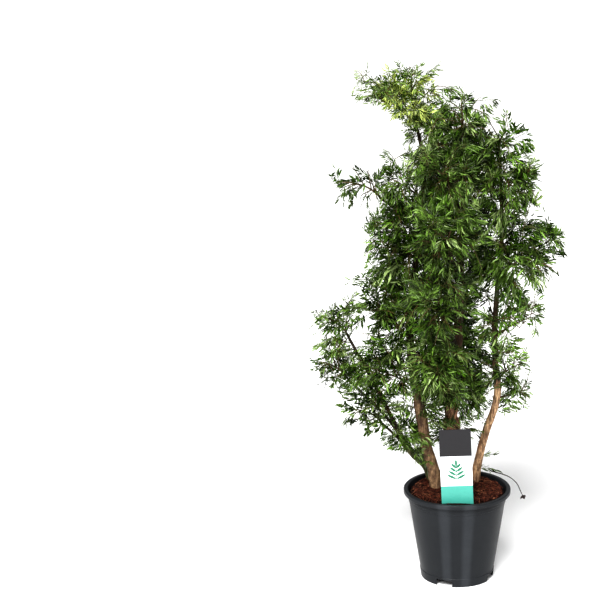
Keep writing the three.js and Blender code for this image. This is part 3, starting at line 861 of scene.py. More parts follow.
massRows = (  # half sizes, the limb and the share of it where the mass springs; some grow on a bough
    ("crest_left", (-168, -30, 1122), (68, 56, 50), "leader_left", 0.95, "young", 3, 0.12),
    ("crest_heart", (-84, -12, 1112), (66, 74, 74), "leader_left", 1, "lime"),
    ("dome_front", (6, -62, 1058), (78, 68, 70), "leader_centre", 1, "deep"),
    ("dome_right", (74, -10, 1012), (62, 82, 72), "leader_right", 1, "deep"),
    ("dome_back", (8, 82, 1030), (90, 76, 76), "leader_centre", 0.86, "deep", 5),
    ("arm_left", (-206, -20, 914), (78, 58, 52), "leader_left", 0.6, "deep", 5, 0.2),
    ("shoulder_left", (-116, -32, 922), (64, 78, 78), "leader_left", 0.71, "fresh"),
    ("high_front", (-24, -96, 954), (80, 72, 82), "leader_centre", 0.68, "fresh", 5),
    ("high_right", (98, -42, 914), (80, 88, 80), "leader_right", 0.74, "fresh"),
    ("high_back", (-4, 92, 926), (108, 84, 92), "leader_back", 1, "deep"),
    ("mid_left", (-122, -22, 784), (84, 86, 92), "leader_left", 0.5, "deep"),
    ("mid_front", (-24, -118, 822), (86, 78, 92), "leader_centre", 0.46, "fresh", 6),
    ("mid_right", (126, -38, 770), (108, 94, 96), "leader_right", 0.4, "deep", 5),
    ("mid_back", (-12, 124, 760), (122, 88, 104), "leader_back", 0.6, "deep"),
    ("low_left", (-154, -20, 640), (88, 84, 90), "leader_left", 0.22, "deep"),
    ("low_front", (-46, -122, 672), (90, 78, 90), "leader_centre", 0.22, "deep", 6),
    ("low_right", (110, -30, 616), (88, 88, 78), "leader_right", 0.16, "bright"),
    ("low_back", (-14, 126, 600), (122, 88, 96), "leader_back", 0.3, "deep"),
    ("ring_top", (-262, -20, 612), (60, 52, 54), "stem_far_left", 1, "fresh", 4.6),
    ("ring_side", (-276, -28, 512), (48, 50, 68), "stem_far_left", 0.84, "deep", 4, 0.12),
    ("skirt_left", (-160, -34, 506), (82, 68, 62), "leader_left", 0.05, "deep"),
    ("skirt_front", (-40, -104, 524), (82, 68, 84), "stem_left", 0.8, "fresh", 6),
    ("skirt_right", (92, -24, 508), (80, 74, 64), "stem_right", 0.9, "fresh"),
    ("skirt_back", (-10, 100, 470), (100, 84, 68), "leader_back", 0.1, "deep"),
    ("droop_left", (-200, -26, 402), (66, 50, 56), "stem_far_left", 0.62, "fresh", 4, 0.16),
    ("low_centre", (2, -30, 432), (72, 56, 62), "leader_centre", 0.06, "fresh", 4.4),
    ("spray_right", (138, 0, 440), (38, 36, 34), "stem_right", 0.74, "fresh", 2.6),
)
masses = {name: dict(zip(massWords, row)) for name, *row in massRows}


def taper(foot, tip, flare=0.0):
    fade = limbShape["flareFade"]
    return lambda share: (foot + (tip - foot) * share) * (1 + flare * math.exp(-share * fade))


def depthIn(mass, spot):
    power = growth["roundness"]
    away = [abs(a - b) / c for a, b, c in zip(spot, mass["centre"], mass["size"])]
    return sum(a ** power for a in away) ** (1 / power)


def isInSpace(mass, spot):
    depth = depthIn(mass, spot)
    if depth > 1:
        return False
    others = (other for other in masses.values() if other is not mass)
    return all(depth + growth["share"] <= depthIn(other, spot) for other in others)


def courseFrom(limb, at, course):
    start = limb["line"].at(at)
    if at < 1:
        return smoothLine([start, *course])
    ahead = limb["line"].ahead(1)
    return smoothLine([start - ahead * limbShape["sunk"], start + ahead * limbShape["lead"], *course])


def boughLine(mass):
    line = limbs[mass["limb"]]["line"]
    start = line.at(mass["at"])
    centre = Vector(mass["centre"])
    tip = centre.lerp(start, boughShape["tipDepth"] / depthIn(mass, start))
    bend = boughShape["bend"] * (tip - start).length
    leave = line.ahead(mass["at"]) * bend + (tip - start) * boughShape["lift"]
    arrive = (centre - tip).normalized() * bend
    return bentLine(start, start + leave, tip - arrive, tip)


limbs = {}
for name, stem in stems.items():
    width = taper(*stem["radius"], stem["flare"])
    limbs[name] = {"line": smoothLine(stem["course"]), "width": width, "bark": stem["bark"]}
for name, leader in leaders.items():
    line = courseFrom(limbs[leader["parent"]], leader["at"], leader["course"])
    limbs[name] = {"line": line, "width": taper(*leader["radius"]), "bark": leader["bark"]}
for name, mass in masses.items():
    if "bough" in mass:
        width = taper(mass["bough"], mass["bough"] * boughShape["tipWidth"])
        limbs["bough_" + name] = {"line": boughLine(mass), "width": width, "bark": "barkDark"}


# Bark: relief is drawn into the mesh, and the finish adds the fine cracks and a painted shade higher up

barkShape = {  # millimetres
    "ringStep": 4.0, "fewestRings": 8,
    "girthAt": 0.3, "sides": ((9, 22), (5, 14), (0, 10)),  # thicker than this there: so many sides
    "seeds": (7.7, 0.13),  # what a name's length and its letters add to the noise's place
    "across": Vector((0.3, 1, 0.2)),
    "scars": {"every": 15.0, "depth": 0.045, "width": 0.09, "drift": 0.35, "fineness": 0.03},
    "lumps": 0.07,
    "bumps": ((9, 0.055, 1), (12, 0.17, 0.45)),  # how far out they are read, fineness, share
    "closing": (0.985, 0.75),  # from there on it is that much thinner
    "cap": 0.4,
    "look": {
        "roughness": 0.82,
        "specular": 0.3,
        "drift": {"scale": 34.0, "contrast": 0.4},
        "relief": (260.0, 0.8, 0.0016, (1.0, 1.0, 0.35)),
        "pores": {"scale": 210.0, "edge": (0.10, 0.2), "amount": 0.25, "colour": (0.50, 0.38, 0.25, 1)},
        "streaks": {
            "pull": (1.0, 1.0, 0.14), "grain": (230.0, 4.0, 0.6), "edge": (0.40, 0.56),
            "amount": 0.75, "colour": (0.045, 0.026, 0.018, 1),
        },
        "shade": {"run": 0.12, "amount": 0.84, "colour": (0.034, 0.026, 0.017, 1)},  # painted shade of the crown, darker upwards; the run is in metres
        "colours": {  # main colour, the patches' colour and share, the height where the painted shade starts
            "barkMossy": ((0.150, 0.160, 0.070, 1), (0.045, 0.052, 0.024, 1), 0.75, 0.30),
            "barkTan": ((0.360, 0.240, 0.135, 1), (0.080, 0.042, 0.030, 1), 0.85, 0.35),
            "barkRed": ((0.640, 0.380, 0.240, 1), (0.200, 0.090, 0.060, 1), 0.70, 0.42),
            "barkOrange": ((0.620, 0.420, 0.250, 1), (0.250, 0.130, 0.078, 1), 0.75, 0.45),
            "barkDark": ((0.062, 0.046, 0.026, 1), (0.020, 0.016, 0.012, 1), 0.7, 0.40),
        },
    },
}


def barkFinish(name):
    look = barkShape["look"]
    main, patch, amount, darkFrom = look["colours"][name]
    drift, pores, streaks, shade = look["drift"], look["pores"], look["streaks"], look["shade"]
    material, tree, shader = newFinish(name, look["roughness"], look["specular"])
    place = addNode(tree, "TexCoord", output="Object")
    tone = placeTone(tree, main, patch, drift["scale"], amount, drift["contrast"])
    pits = addNode(tree, "TexVoronoi", {"Vector": place, "Scale": pores["scale"]}, "Distance")
    pale = addMix(tree, addRange(tree, pits, *pores["edge"], pores["amount"], 0.0), tone, pores["colour"])
    pull = addNode(tree, "VectorMath", {0: place, 1: streaks["pull"]}, operation="MULTIPLY")
    grain = addNoise(tree, pull, *streaks["grain"])
    cracks = addRange(tree, grain, *streaks["edge"], streaks["amount"], 0.0)
    cracked = addMix(tree, cracks, pale, streaks["colour"])
    height = addNode(tree, "SeparateXYZ", {"Vector": place}, "Z")
    # Painted shade: the bark darkens upwards, where the crown shades it
    dark = addRange(tree, height, darkFrom, darkFrom + shade["run"], 0.0, shade["amount"])
    feed(shader, {
        "Base Color": addMix(tree, dark, cracked, shade["colour"]),
        "Normal": placeRelief(tree, *look["relief"]),
    })
    return material


def barkMesh(name, limb, finish):  # lumpy rings with leaf scars along the line, closed at both ends
    look, scars = barkShape, barkShape["scars"]
    line, width = limb["line"], limb["width"]
    steps = max(look["fewestRings"], round(line.length / look["ringStep"]))
    sides = next(count for least, count in look["sides"] if width(look["girthAt"]) > least)
    points = []
    across = look["across"]
    wordStep, letterStep = look["seeds"]
    seed = Vector((len(name) * wordStep, sum(map(ord, name)) * letterStep, 0))
    closingFrom, closingTo = look["closing"]
    for k in range(steps + 1):
        share = k / steps
        spot, ahead = line.at(share), line.ahead(share)
        across = (across - ahead * across.dot(ahead)).normalized()
        run = share * line.length
        drift = scars["drift"] * noise.noise(seed + Vector((0, 0, run * scars["fineness"])))
        phase = run / scars["every"] + drift
        scar = math.exp(-((phase % 1 - 0.5) / scars["width"]) ** 2)
        closing = 1.0 if share < closingFrom else closingTo
        for out in ringAround(across, ahead.cross(across), sides):
            rough = 0
            for far, fineness, part in look["bumps"]:
                rough += part * noise.noise(seed + (spot + out * far) * fineness)
            swell = 1 + look["lumps"] * rough + scars["depth"] * scar
            points.append(spot + out * width(share) * closing * swell)
    points += [line.at(0), line.at(1) + line.ahead(1) * width(1) * look["cap"]]
    faces = ringFaces(0, sides, steps)
    foot, tip = len(points) - 2, len(points) - 1
    for j in range(sides):
        beside = (j + 1) % sides
        faces += [(foot, beside, j), (tip, steps * sides + j, steps * sides + beside)]
    points = np.array([tuple(p) for p in points]) * mm
    return meshFromArrays(name, points, faces, finish, "bark")


def buildLimbs():
    finishes = {name: barkFinish(name) for name in barkShape["look"]["colours"]}
    for name, limb in limbs.items():
        words = name.split("_")
        piece = words[0] + "".join(word.capitalize() for word in words[1:]) + "Bark"
        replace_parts(barkMesh(piece, limb, finishes[limb["bark"]]), name)
    print("stage: limbs")


buildLimbs()


# The crown: each mass grows by the model's rule, and its shoots carry on into
# feathery leaves, each a rachis with pairs of side stalks that bear leaflets

leafWords = ("pairs", "side", "divided", "least", "width", "droop", "skip")
leafKinds = {  # divided and least are millimetres, side and width are shares of a length
    "open": (7, 0.56, 27, 15, 0.120, 0.38, 0.05),
    "feather": (7, 0.50, 22, 13, 0.124, 0.30, 0.05),
    "tuft": (6, 0.46, 17, 11, 0.145, 0.18, 0.05),
    "thread": (7, 0.50, 16, 10, 0.118, 0.34, 0.05),
    "fine": (7, 0.40, 14, 9, 0.18, 0.26, 0.05),
    "broad": (4, 0.40, 99, 17, 0.23, 0.30, 0.0),
}
leafKinds = {kind: dict(zip(leafWords, row)) for kind, row in leafKinds.items()}
leafForm = {  # (least, more) is the least and what chance may add
    "facing": (0.6, 0.6, 2.4),  # how much it turns up, outwards and by chance
    "droop": (0.4, 1.2),
    "swerve": 0.6,
    "greenShare": 0.66,
    "rachis": ((0, 0.35, 0.7, 1), (0.85, 0.7, 0.5, 0.3)),  # where it is drawn, and how thick
    "pairs": {"from": 0.22, "run": 0.68, "to": 0.95, "stagger": 0.2, "drift": 0.3},
    "angle": (60, 24, 24),  # degrees: at the foot, less towards the tip, by chance
    "armDroop": (0.05, 0.4),
    "armSway": 0.5,
    "armTaper": (1.1, 0.72, 1.3),
    "armLength": (0.78, 0.44),
    "shortened": 0.6,
    "armBend": (0.1, 0.5),
    "longArm": (1.5, (0.5, 0.24), (0.42,)),  # how long it is; where its leaflets stand, else where
    "swing": (30, 26),  # degrees
    "sideLeaflet": 0.56,
    "sideBend": (0.1, 0.4),
    "armStalk": {"to": 0.5, "knee": 0.6, "bow": 0.02, "widths": (0.42, 0.34, 0.24)},
    "armTip": (0.64, 0.2),  # length and sway
    "fan": {"swings": (-0.6, 0.04, 0.55), "length": 1.25, "bend": 0.6},
    "leaflet": {
        "droop": 0.25, "sway": 0.7, "length": (0.85, 0.3), "roll": 1.4, "loose": 0.4,
        "width": (0.8, 0.45), "curl": (0.05, 0.40), "sameTone": 0.7,
    },
}
leafPlan = {  # how many leaves a shoot bears and how far they reach
    "atHub": 6, "hubTilt": (0.6, 0.8), "hubTurn": 1.5,
    # shade: leaves on the inner shoots take darker tones, a painted shade
    "onShoot": 7, "shootTilt": (0.6, 0.8), "shootRun": (0.2, 0.75), "shade": 0.25,
    "length": 0.8, "tipLength": 1.25,
    "lengths": (0.75, 1.3), "tries": 5, "cut": 0.82, "leastLength": 26,
    "twig": 0.42, "twigBend": 0.4, "twigSteps": 5, "lean": (0.1, 0.3), "shootBow": 0.06, "shootSteps": 6,
    "reach": 0.98, "reachDrift": 0.48, "reachGrain": 38, "mostReach": 1.16,
    "tintFrom": 0.3,
    "mostPerPiece": 12000,
}
woodWidths = {  # millimetres
    "spine": [3.0 - 1.7 * k / 8 for k in range(9)],
    "shoot": [1.7 - 0.7 * k / 4 for k in range(5)],
    "twig": [0.95, 0.8, 0.7, 0.6],
    "slender": (4, 0.6),  # a spine on a thinner bough than this is so much thinner
}
outerReach = ((-329, -204, 212), (237, 219, 1191))  # leaves stay between these corners
toneShares = {  # how each kind of mass deals its leaves out to the tones of leafTones, in their order
    "deep": (0.32, 0.32, 0.26, 0.10),
    "fresh": (0.16, 0.26, 0.34, 0.24),
    "bright": (0.08, 0.18, 0.34, 0.40),
    "young": (0.03, 0.15, 0.38, 0.44),
    "lime": (0, 0, 0.04, 0.20, 0.76),
    # shaded: mostly the darkest tones, a painted shade for masses that stand in shade
    "shaded": (0.60, 0.34, 0.06),
}
massDensity = {  # share of the leaves that a mass keeps, where it is open
    "crest_left": 0.18, "crest_heart": 0.44, "dome_front": 0.16, "dome_back": 0.13, "dome_right": 0.18,
    "arm_left": 0.30, "shoulder_left": 0.46, "high_front": 0.62, "high_right": 0.57, "high_back": 0.46,
    "mid_left": 0.57, "mid_front": 0.64, "mid_right": 0.62, "mid_back": 0.50, "low_left": 0.46,
    "low_front": 0.47, "low_right": 0.26, "low_back": 0.40, "ring_top": 0.52, "ring_side": 0.52,
    "skirt_left": 0.58, "skirt_right": 0.38, "droop_left": 0.38, "spray_right": 0.85, "low_centre": 0.9,
}
ownKinds = {  # masses whose leaves differ from those of their sort
    "crest_left": ("thread", "thread", "feather"),
    "crest_heart": ("thread", "thread", "tuft"),
    "arm_left": ("broad", "open", "broad"),
    "ring_top": ("fine", "fine", "tuft"),
    "ring_side": ("fine", "fine", "tuft"),
    "skirt_left": ("fine", "feather"),
    "droop_left": ("broad", "feather", "broad"),
}
ownTints = {"arm_left": "shaded", "droop_left": "shaded", "dome_front": "fresh", "dome_right": "fresh"}
openPlaces = (  # x, z and half sizes of the gaps through the crown, in millimetres
    (-212, 562, 20, 26),
    (-16, 388, 22, 22),
    (-204, 1058, 44, 30),
    (-183, 1023, 70, 34),
)
limbLeafSpread = {  # how the leaves of the next table stand off their limb
    "seed": 4711, "rise": 0.5, "out": 0.7, "length": (0.7, 0.6), "tintFrom": 0.75,
}
limbLeaves = (  # limb, the run of it that bears them, how many, length, tint, lean
    ("stem_far_left", 0.25, 1.0, 9, 62, "fresh", (0.2, -0.1, 0.5)),
    ("stem_far_left", 0.4, 1.0, 9, 50, "fresh", (0, -0.7, 0.2)),
    ("stem_far_left", 0.7, 1.0, 5, 70, "fresh", (0.9, -0.3, 0.6)),
    ("stem_left", 0.25, 0.55, 4, 44, "bright", (-0.3, -0.4, 0.3)),
    ("stem_left", 0.75, 1.0, 5, 62, "fresh", (-0.7, -0.3, 0.2)),
    ("stem_left", 0.7, 1.0, 7, 62, "deep", (0.9, -0.2, -0.1)),
    ("trunk_centre", 0.55, 1.0, 7, 60, "bright", (0.3, -0.5, 0.2)),
    ("trunk_centre", 0.6, 1.0, 6, 60, "fresh", (-0.9, -0.2, 0.1)),
    ("stem_right", 0.1, 0.3, 3, 46, "fresh", (0.6, -0.3, 0.1)),
    ("stem_right", 0.5, 1.0, 7, 58, "fresh", (0.5, -0.3, 0.1)),
    ("leader_left", 0.68, 0.98, 9, 70, "young", (0.4, -0.2, 0.2)),
    ("leader_left", 0.84, 1.0, 7, 80, "young", (1.2, -0.2, 0.3)),
    ("leader_left", 0.92, 1.0, 12, 54, "lime", (-0.3, -0.8, 0.3)),
    ("bough_crest_left", 0.6, 1.0, 6, 84, "young", (-0.9, -0.2, 0.5)),
    ("bough_crest_left", 0.6, 1.0, 4, 74, "young", (0.0, -0.2, 1.0)),
    ("bough_crest_left", 0.0, 0.45, 6, 52, "lime", (0.1, -0.8, 0.2)),
    ("bough_dome_back", 0.1, 0.9, 3, 84, "deep", (0, 0.2, 0.2)),
    ("bough_ring_top", 0.1, 0.9, 14, 50, "fresh", (0, -0.3, 0.2)),
    ("bough_ring_top", 0.8, 1.0, 5, 62, "fresh", (-1.0, -0.2, -0.5)),
    ("bough_ring_side", 0.1, 0.9, 18, 46, "fresh", (0, -0.4, 0.1)),
    ("bough_ring_side", 0.75, 1.0, 6, 62, "fresh", (-0.5, -0.1, 1.2)),
    ("bough_droop_left", 0.2, 0.9, 8, 48, "shaded", (0, -0.3, 0.1)),
    ("bough_crest_left", 0.15, 0.8, 4, 50, "lime", (0, -0.2, 0.1)),
    ("bough_arm_left", 0.3, 0.9, 8, 60, "deep", (0, -0.2, 0.1)),
    ("leader_left", 0.05, 0.8, 14, 62, "deep", (0, -0.6, 0.2)),
    ("leader_centre", 0.0, 0.95, 16, 66, "deep", (0, -0.5, 0.2)),
    ("leader_right", 0.05, 0.95, 17, 62, "deep", (0.1, -0.7, 0.2)),
    ("leader_back", 0.1, 1.0, 12, 80, "deep", (0, 0.1, 0.2)),
    ("leader_back", 0.2, 1.0, 8, 80, "fresh", (0, -0.9, 0.2)),
    ("leader_centre", 0.2, 0.85, 6, 80, "deep", (0, 0.9, 0.2)),
    ("leader_right", 0.84, 1.0, 6, 84, "deep", (0.9, -0.2, 0.5)),
    ("leader_centre", 0.92, 1.0, 5, 96, "deep", (0.4, -0.2, 1.0)),
    ("bough_ring_top", 0.2, 0.8, 9, 40, "fresh", (-0.3, -0.5, -0.5)),
    ("leader_left", 0.1, 0.36, 10, 80, "deep", (-1.0, -0.4, -0.2)),
    ("bough_ring_top", 0.55, 1.0, 7, 62, "fresh", (0.9, -0.2, 0.3)),
    ("leader_left", 0.36, 0.52, 6, 84, "deep", (-1.0, -0.4, -0.1)),
    ("bough_crest_left", 0.2, 0.85, 7, 44, "lime", (0.1, -1.0, -0.2)),
    ("leader_back", 0.25, 1.0, 11, 86, "deep", (-1.0, -0.5, 0.1)),
    ("leader_left", 0.15, 0.75, 11, 84, "deep", (-0.1, 1.1, 0.1)),
    ("leader_centre", 0.72, 1.0, 6, 84, "deep", (0.0, 1.0, 0.2)),
)
limeHeart = {"place": Vector((-117, -24, 1096)), "reach": (58, 46)}  # the crest's yellow young leaves
massKinds = {  # the kinds of leaf that each sort of mass bears
    "deep": ("open", "open", "feather"),
    "shaded": ("broad", "feather"),
    "fresh": ("open", "feather", "feather"),
    "bright": ("feather", "feather", "tuft"),
    "young": ("thread", "feather", "thread"),
    "lime": ("thread", "tuft"),
}
leafTones = {  # upper side, underside, slot
    "leafDeep": ((0.012, 0.028, 0.0008, 1), (0.030, 0.052, 0.008, 1), "leaves_deep"),
    "leafForest": ((0.038, 0.086, 0.003, 1), (0.064, 0.110, 0.018, 1), "leaves_deep"),
    "leafFresh": ((0.096, 0.170, 0.024, 1), (0.115, 0.182, 0.042, 1), "leaves_fresh"),
    "leafBright": ((0.158, 0.216, 0.074, 1), (0.176, 0.230, 0.090, 1), "leaves_bright"),
    "leafLime": ((0.305, 0.372, 0.085, 1), (0.310, 0.365, 0.105, 1), "leaves_lime"),
}
leafLook = {
    "roughness": 0.32,
    "specular": 0.30,
    "drift": (30.0, 0.5, 0.22),
    "second": 0.62,  # the second colour as a share of the first
    "rib": {"edge": (0.03, 0.10), "amount": 0.42, "lighter": (2.4, 0.02)},
    "depth": (0.30, 2.0),  # the darkest and the lightest leaflet
}
stalkLook = {
    "specular": 0.35,
    "drift": (45.0, 0.6, 0.25),
    "colours": {  # two colours and the roughness
        "twigBark": ((0.105, 0.075, 0.035, 1), (0.040, 0.034, 0.018, 1), 0.8),
        "stalkGreen": ((0.075, 0.120, 0.030, 1), (0.120, 0.085, 0.030, 1), 0.6),
        "stalkRusty": ((0.135, 0.070, 0.030, 1), (0.060, 0.070, 0.022, 1), 0.6),
        "witheredStalk": ((0.028, 0.020, 0.016, 1), (0.012, 0.010, 0.010, 1), 0.75),
    },
}


def outwardOf(mass):
    x, y, z = mass["centre"]
    along = (z - crown["foot"].z) / (crown["top"].z - crown["foot"].z)
    middle = crown["foot"].lerp(crown["top"], along)
    rise = crown["domeRise"] * max(0, z - crown["top"].z)
    return Vector((x - middle.x, y - middle.y, rise)).normalized()


def targetsOf(mass, throw):
    wide, deep, tall = mass["size"]
    halfSize = (wide * deep * tall) ** (1 / 3)
    count = max(growth["fewestShoots"], round(halfSize / growth["sizePerShoot"]))
    turn = up.rotation_difference(outwardOf(mass))
    phase = throw() * fullTurn
    centre = Vector(mass["centre"])
    targets = []
    for k in range(count):
        height = 1 - 2 * k / count
        around = phase + goldenAngle * k
        wide = math.sqrt(1 - height * height)
        way = turn @ Vector((wide * math.cos(around), wide * math.sin(around), height))
        way = way * Vector(mass["size"])
        way /= depthIn(mass, centre + way)
        for _ in range(growth["draws"]):  # as the model does for the leaf that it puts there
            throw()
        reach = growth["reach"]
        while reach >= growth["leastReach"]:
            place = centre + way * reach
            if isInSpace(mass, place):
                targets.append(place)
                break
            reach -= growth["reachStep"]
    return targets


def rootOf(name, mass):
    line = limbs["bough_" + name if "bough" in mass else mass["limb"]]["line"]
    at = 1 if "bough" in mass else mass["at"]
    if at < 1:
        return line.at(at), None
    return line.at(1) - line.ahead(1) * growth["rootSunk"], line.ahead(1)


def spineOf(mass, root, ahead, place):
    centre = Vector(mass["centre"])
    end = centre.lerp(place, growth["hub"])
    run = growth["kneeRun"] * (end - root).length
    knee = root + ahead * run if ahead else root.lerp(centre, growth["kneeShare"])
    knee.z += mass.get("arch", 0) * mass["size"][2]
    return bentLine(root, knee, end, fineness=growth["spineSpots"])


def originFor(spine, place):
    middle = spine.ahead(0.5)

    def cost(spot):
        away = place - spot
        return away.length * (1 + abs(away.angle(middle, 0) - growth["easyTurn"]))

    return min(spine.points[growth["bareSpots"]:], key=cost)


class Leaflets:  # leaflets gathered for one mesh, in millimetres

    def __init__(self):
        self.feet, self.ways, self.faces, self.sizes, self.marks = [], [], [], [], []

    def add(self, foot, way, facing, size, mark=0.5):  # the size is length, width, curl and bend
        self.feet.append(tuple(foot))
        self.ways.append(tuple(way))
        self.faces.append(tuple(facing))
        self.sizes.append(size)
        self.marks.append(mark)


leafSections = (  # share of the length, left and right half widths, lift of the edges
    (0.20, 0.60, 0.50, 0.30),
    (0.46, 1.00, 0.90, 0.26),
    (0.76, 0.56, 0.66, 0.20),
)
leafTeeth = (  # the two points of the edge that a tooth stands on, and its tip along and across
    (1, 4, 0.42, -1.62),
    (4, 7, 0.70, -1.42),
    (3, 6, 0.36, 1.50),
    (6, 9, 0.64, 1.48),
)
toothLift = 0.34


def leafletArrays(leaflets, first=0, last=None):
    lists = (leaflets.feet, leaflets.ways, leaflets.faces, leaflets.sizes, leaflets.marks)
    feet, ways, faces, sizes, marks = (np.array(a[first:last]) for a in lists)
    length, width, curl, bend = sizes.T[:, :, None]
    sides = np.cross(faces, ways)
    sides /= np.linalg.norm(sides, axis=1, keepdims=True)
    faces = np.cross(ways, sides)

    def spot(share, across, lift):
        bow = share * share * length
        level = lift * width - curl * bow
        return feet + ways * share * length + sides * (across * width / 2 + bend * bow) + faces * level

    places = [(0, 0, 0)]  # share of the length, across, lift
    for share, left, right, lift in leafSections:
        places += [(share, -left, lift), (share, 0, 0), (share, right, lift)]
    places.append((1, 0, 0))
    pattern = [(0, 2, 1), (0, 3, 2), (10, 7, 8), (10, 8, 9)]
    for a in (1, 2, 4, 5):
        pattern += [(a, a + 1, a + 4), (a, a + 4, a + 3)]
    for a, b, share, across in leafTeeth:
        tip = len(places)
        places.append((share, across, toothLift))
        pattern.append((a, b, tip) if across < 0 else (b, a, tip))
    points = np.stack([spot(*place) for place in places], axis=1)
    spread = [(0.5 + across / 2, share) for share, across, _ in places]
    starts = np.arange(len(feet)) * len(places)
    faceList = (starts[:, None, None] + np.array(pattern)[None]).reshape(-1, 3)
    spread, marks = np.tile(np.array(spread), (len(feet), 1)), np.repeat(marks, len(places))
    return points.reshape(-1, 3) * mm, faceList, spread, marks


tones = {name: Leaflets() for name in leafTones}
leafStalks = {"stalkGreen": Stalks(), "stalkRusty": Stalks()}
twigs = Stalks()


def toneFor(tint, throw, shade):
    # A shade above nought deals out darker tones: painted shade for leaves inside the crown
    mark = throw() * 0.999 - shade  # always below the sum of the shares
    for name, share in zip(leafTones, toneShares[tint]):
        mark -= share
        if share and mark < 0:
            break
    return name


def tintAt(tint, place):  # the crest's young leaves are yellow at its heart
    if tint not in ("young", "lime"):
        return tint
    away = place - limeHeart["place"]
    wide, tall = limeHeart["reach"]
    return "lime" if math.hypot(away.x / wide, away.z / tall) < 1 else "young"


def limitAt(place):  # how far leaves reach there, so that the outline of a mass is ragged
    drift = leafPlan["reachDrift"] * noise.noise(Vector(place) / leafPlan["reachGrain"])
    return min(leafPlan["reach"] + drift, leafPlan["mostReach"])


def isWithinReach(place):
    for x, z, wide, tall in openPlaces:
        if ((place.x - x) / wide) ** 2 + ((place.z - z) / tall) ** 2 < 1:
            return False
    return all(low < a < high for low, a, high in zip(outerReach[0], place, outerReach[1]))


def areNear(mass, other):
    apart = Vector(mass["centre"]) - Vector(other["centre"])
    return all(abs(a) < b + c for a, b, c in zip(apart, mass["size"], other["size"]))


def growLeaf(start, way, length, throw, kind, tint, outwards, fits, shade=0.0):
    look, form, blade = leafKinds[kind], leafForm, leafForm["leaflet"]
    jitter = Vector((throw() - 0.5, throw() - 0.5, throw() - 0.5))
    rising, turning, loose = form["facing"]
    facing = up * rising + outwards * turning + jitter * loose
    facing = (facing - way * facing.dot(way)).normalized()
    side = facing.cross(way)
    droop = look["droop"] * vary(throw, form["droop"])
    swerve = (throw() - 0.5) * form["swerve"]
    tone = toneFor(tint, throw, shade)
    stalks = leafStalks["stalkGreen" if throw() < form["greenShare"] else "stalkRusty"]

    def along(share):
        bow = length * share * share
        return start + way * length * share - up * droop * bow + side * swerve * bow

    def heading(share):
        return (way - up * 2 * droop * share + side * 2 * swerve * share).normalized()

    def leaflet(foot, direction, size, bend):
        direction = direction - up * blade["droop"] * throw() + facing * (throw() - 0.5) * blade["sway"]
        direction.normalize()
        size *= vary(throw, blade["length"])
        if not fits(foot + direction * size):
            return
        turned = facing + side * (throw() - 0.5) * blade["roll"] + jitter * blade["loose"]
        leaflets = tones[tone if throw() < blade["sameTone"] else toneFor(tint, throw, shade)]
        width = size * look["width"] * vary(throw, blade["width"])
        leaflets.add(foot, direction, turned, (size, width, vary(throw, blade["curl"]), bend), throw())

    def arm(foot, ahead, share, hand):  # a side stalk with its leaflets
        atFoot, less, loose = form["angle"]
        angle = math.radians(atFoot - less * share + loose * (throw() - 0.5))
        aim = ahead * math.cos(angle) + side * hand * math.sin(angle)
        aim = aim - up * vary(throw, form["armDroop"]) + facing * (throw() - 0.5) * form["armSway"]
        aim = aim.normalized()
        widest, less, power = form["armTaper"]
        reach = length * look["side"] * (widest - less * share ** power) * vary(throw, form["armLength"])
        if not fits(foot + aim * reach):
            reach *= form["shortened"]
        bend = -hand * vary(throw, form["armBend"])
        if reach < look["divided"]:
            leaflet(foot, aim, max(reach, look["least"]), bend)
            return
        across = facing.cross(aim).normalized()
        isLongFrom, places, fewPlaces = form["longArm"]
        for at in places if reach > isLongFrom * look["divided"] else fewPlaces:
            spot = foot + aim * reach * at
            for turn in (-1, 1):
                swing = math.radians(vary(throw, form["swing"]))
                outward = aim * math.cos(swing) + across * turn * math.sin(swing)
                leaflet(spot, outward, reach * form["sideLeaflet"], -turn * vary(throw, form["sideBend"]))
        stalk = form["armStalk"]
        tip = foot + aim * reach * stalk["to"]
        knee = foot.lerp(tip, stalk["knee"]) + facing * reach * stalk["bow"]
        stalks.add([foot, knee, tip], stalk["widths"])
        size, sway = form["armTip"]
        leaflet(tip, (aim + jitter * sway).normalized(), reach * size, bend)

    places, widths = form["rachis"]
    stalks.add([along(share) for share in places], widths)
    row, pairs = form["pairs"], look["pairs"]
    for pair in range(pairs):
        for hand in (-1, 1):
            if throw() < look["skip"]:
                continue
            number = pair + row["stagger"] * hand + row["drift"] * (throw() - 0.5)
            share = min(row["to"], row["from"] + row["run"] * number / (pairs - 1))
            arm(along(share), heading(share), share, hand)
    fan, ahead = form["fan"], heading(1)
    for swing in fan["swings"]:
        aim = (ahead * math.cos(swing) + side * math.sin(swing)).normalized()
        leaflet(along(1), aim, look["least"] * fan["length"], -swing * fan["bend"])


def aimed(ahead, across, turn, tilt):
    radial = across * math.cos(turn) + ahead.cross(across) * math.sin(turn)
    return ahead * math.cos(tilt) + radial * math.sin(tilt)


def acrossTo(run):
    return (acrossHint - run * run.dot(acrossHint)).normalized()


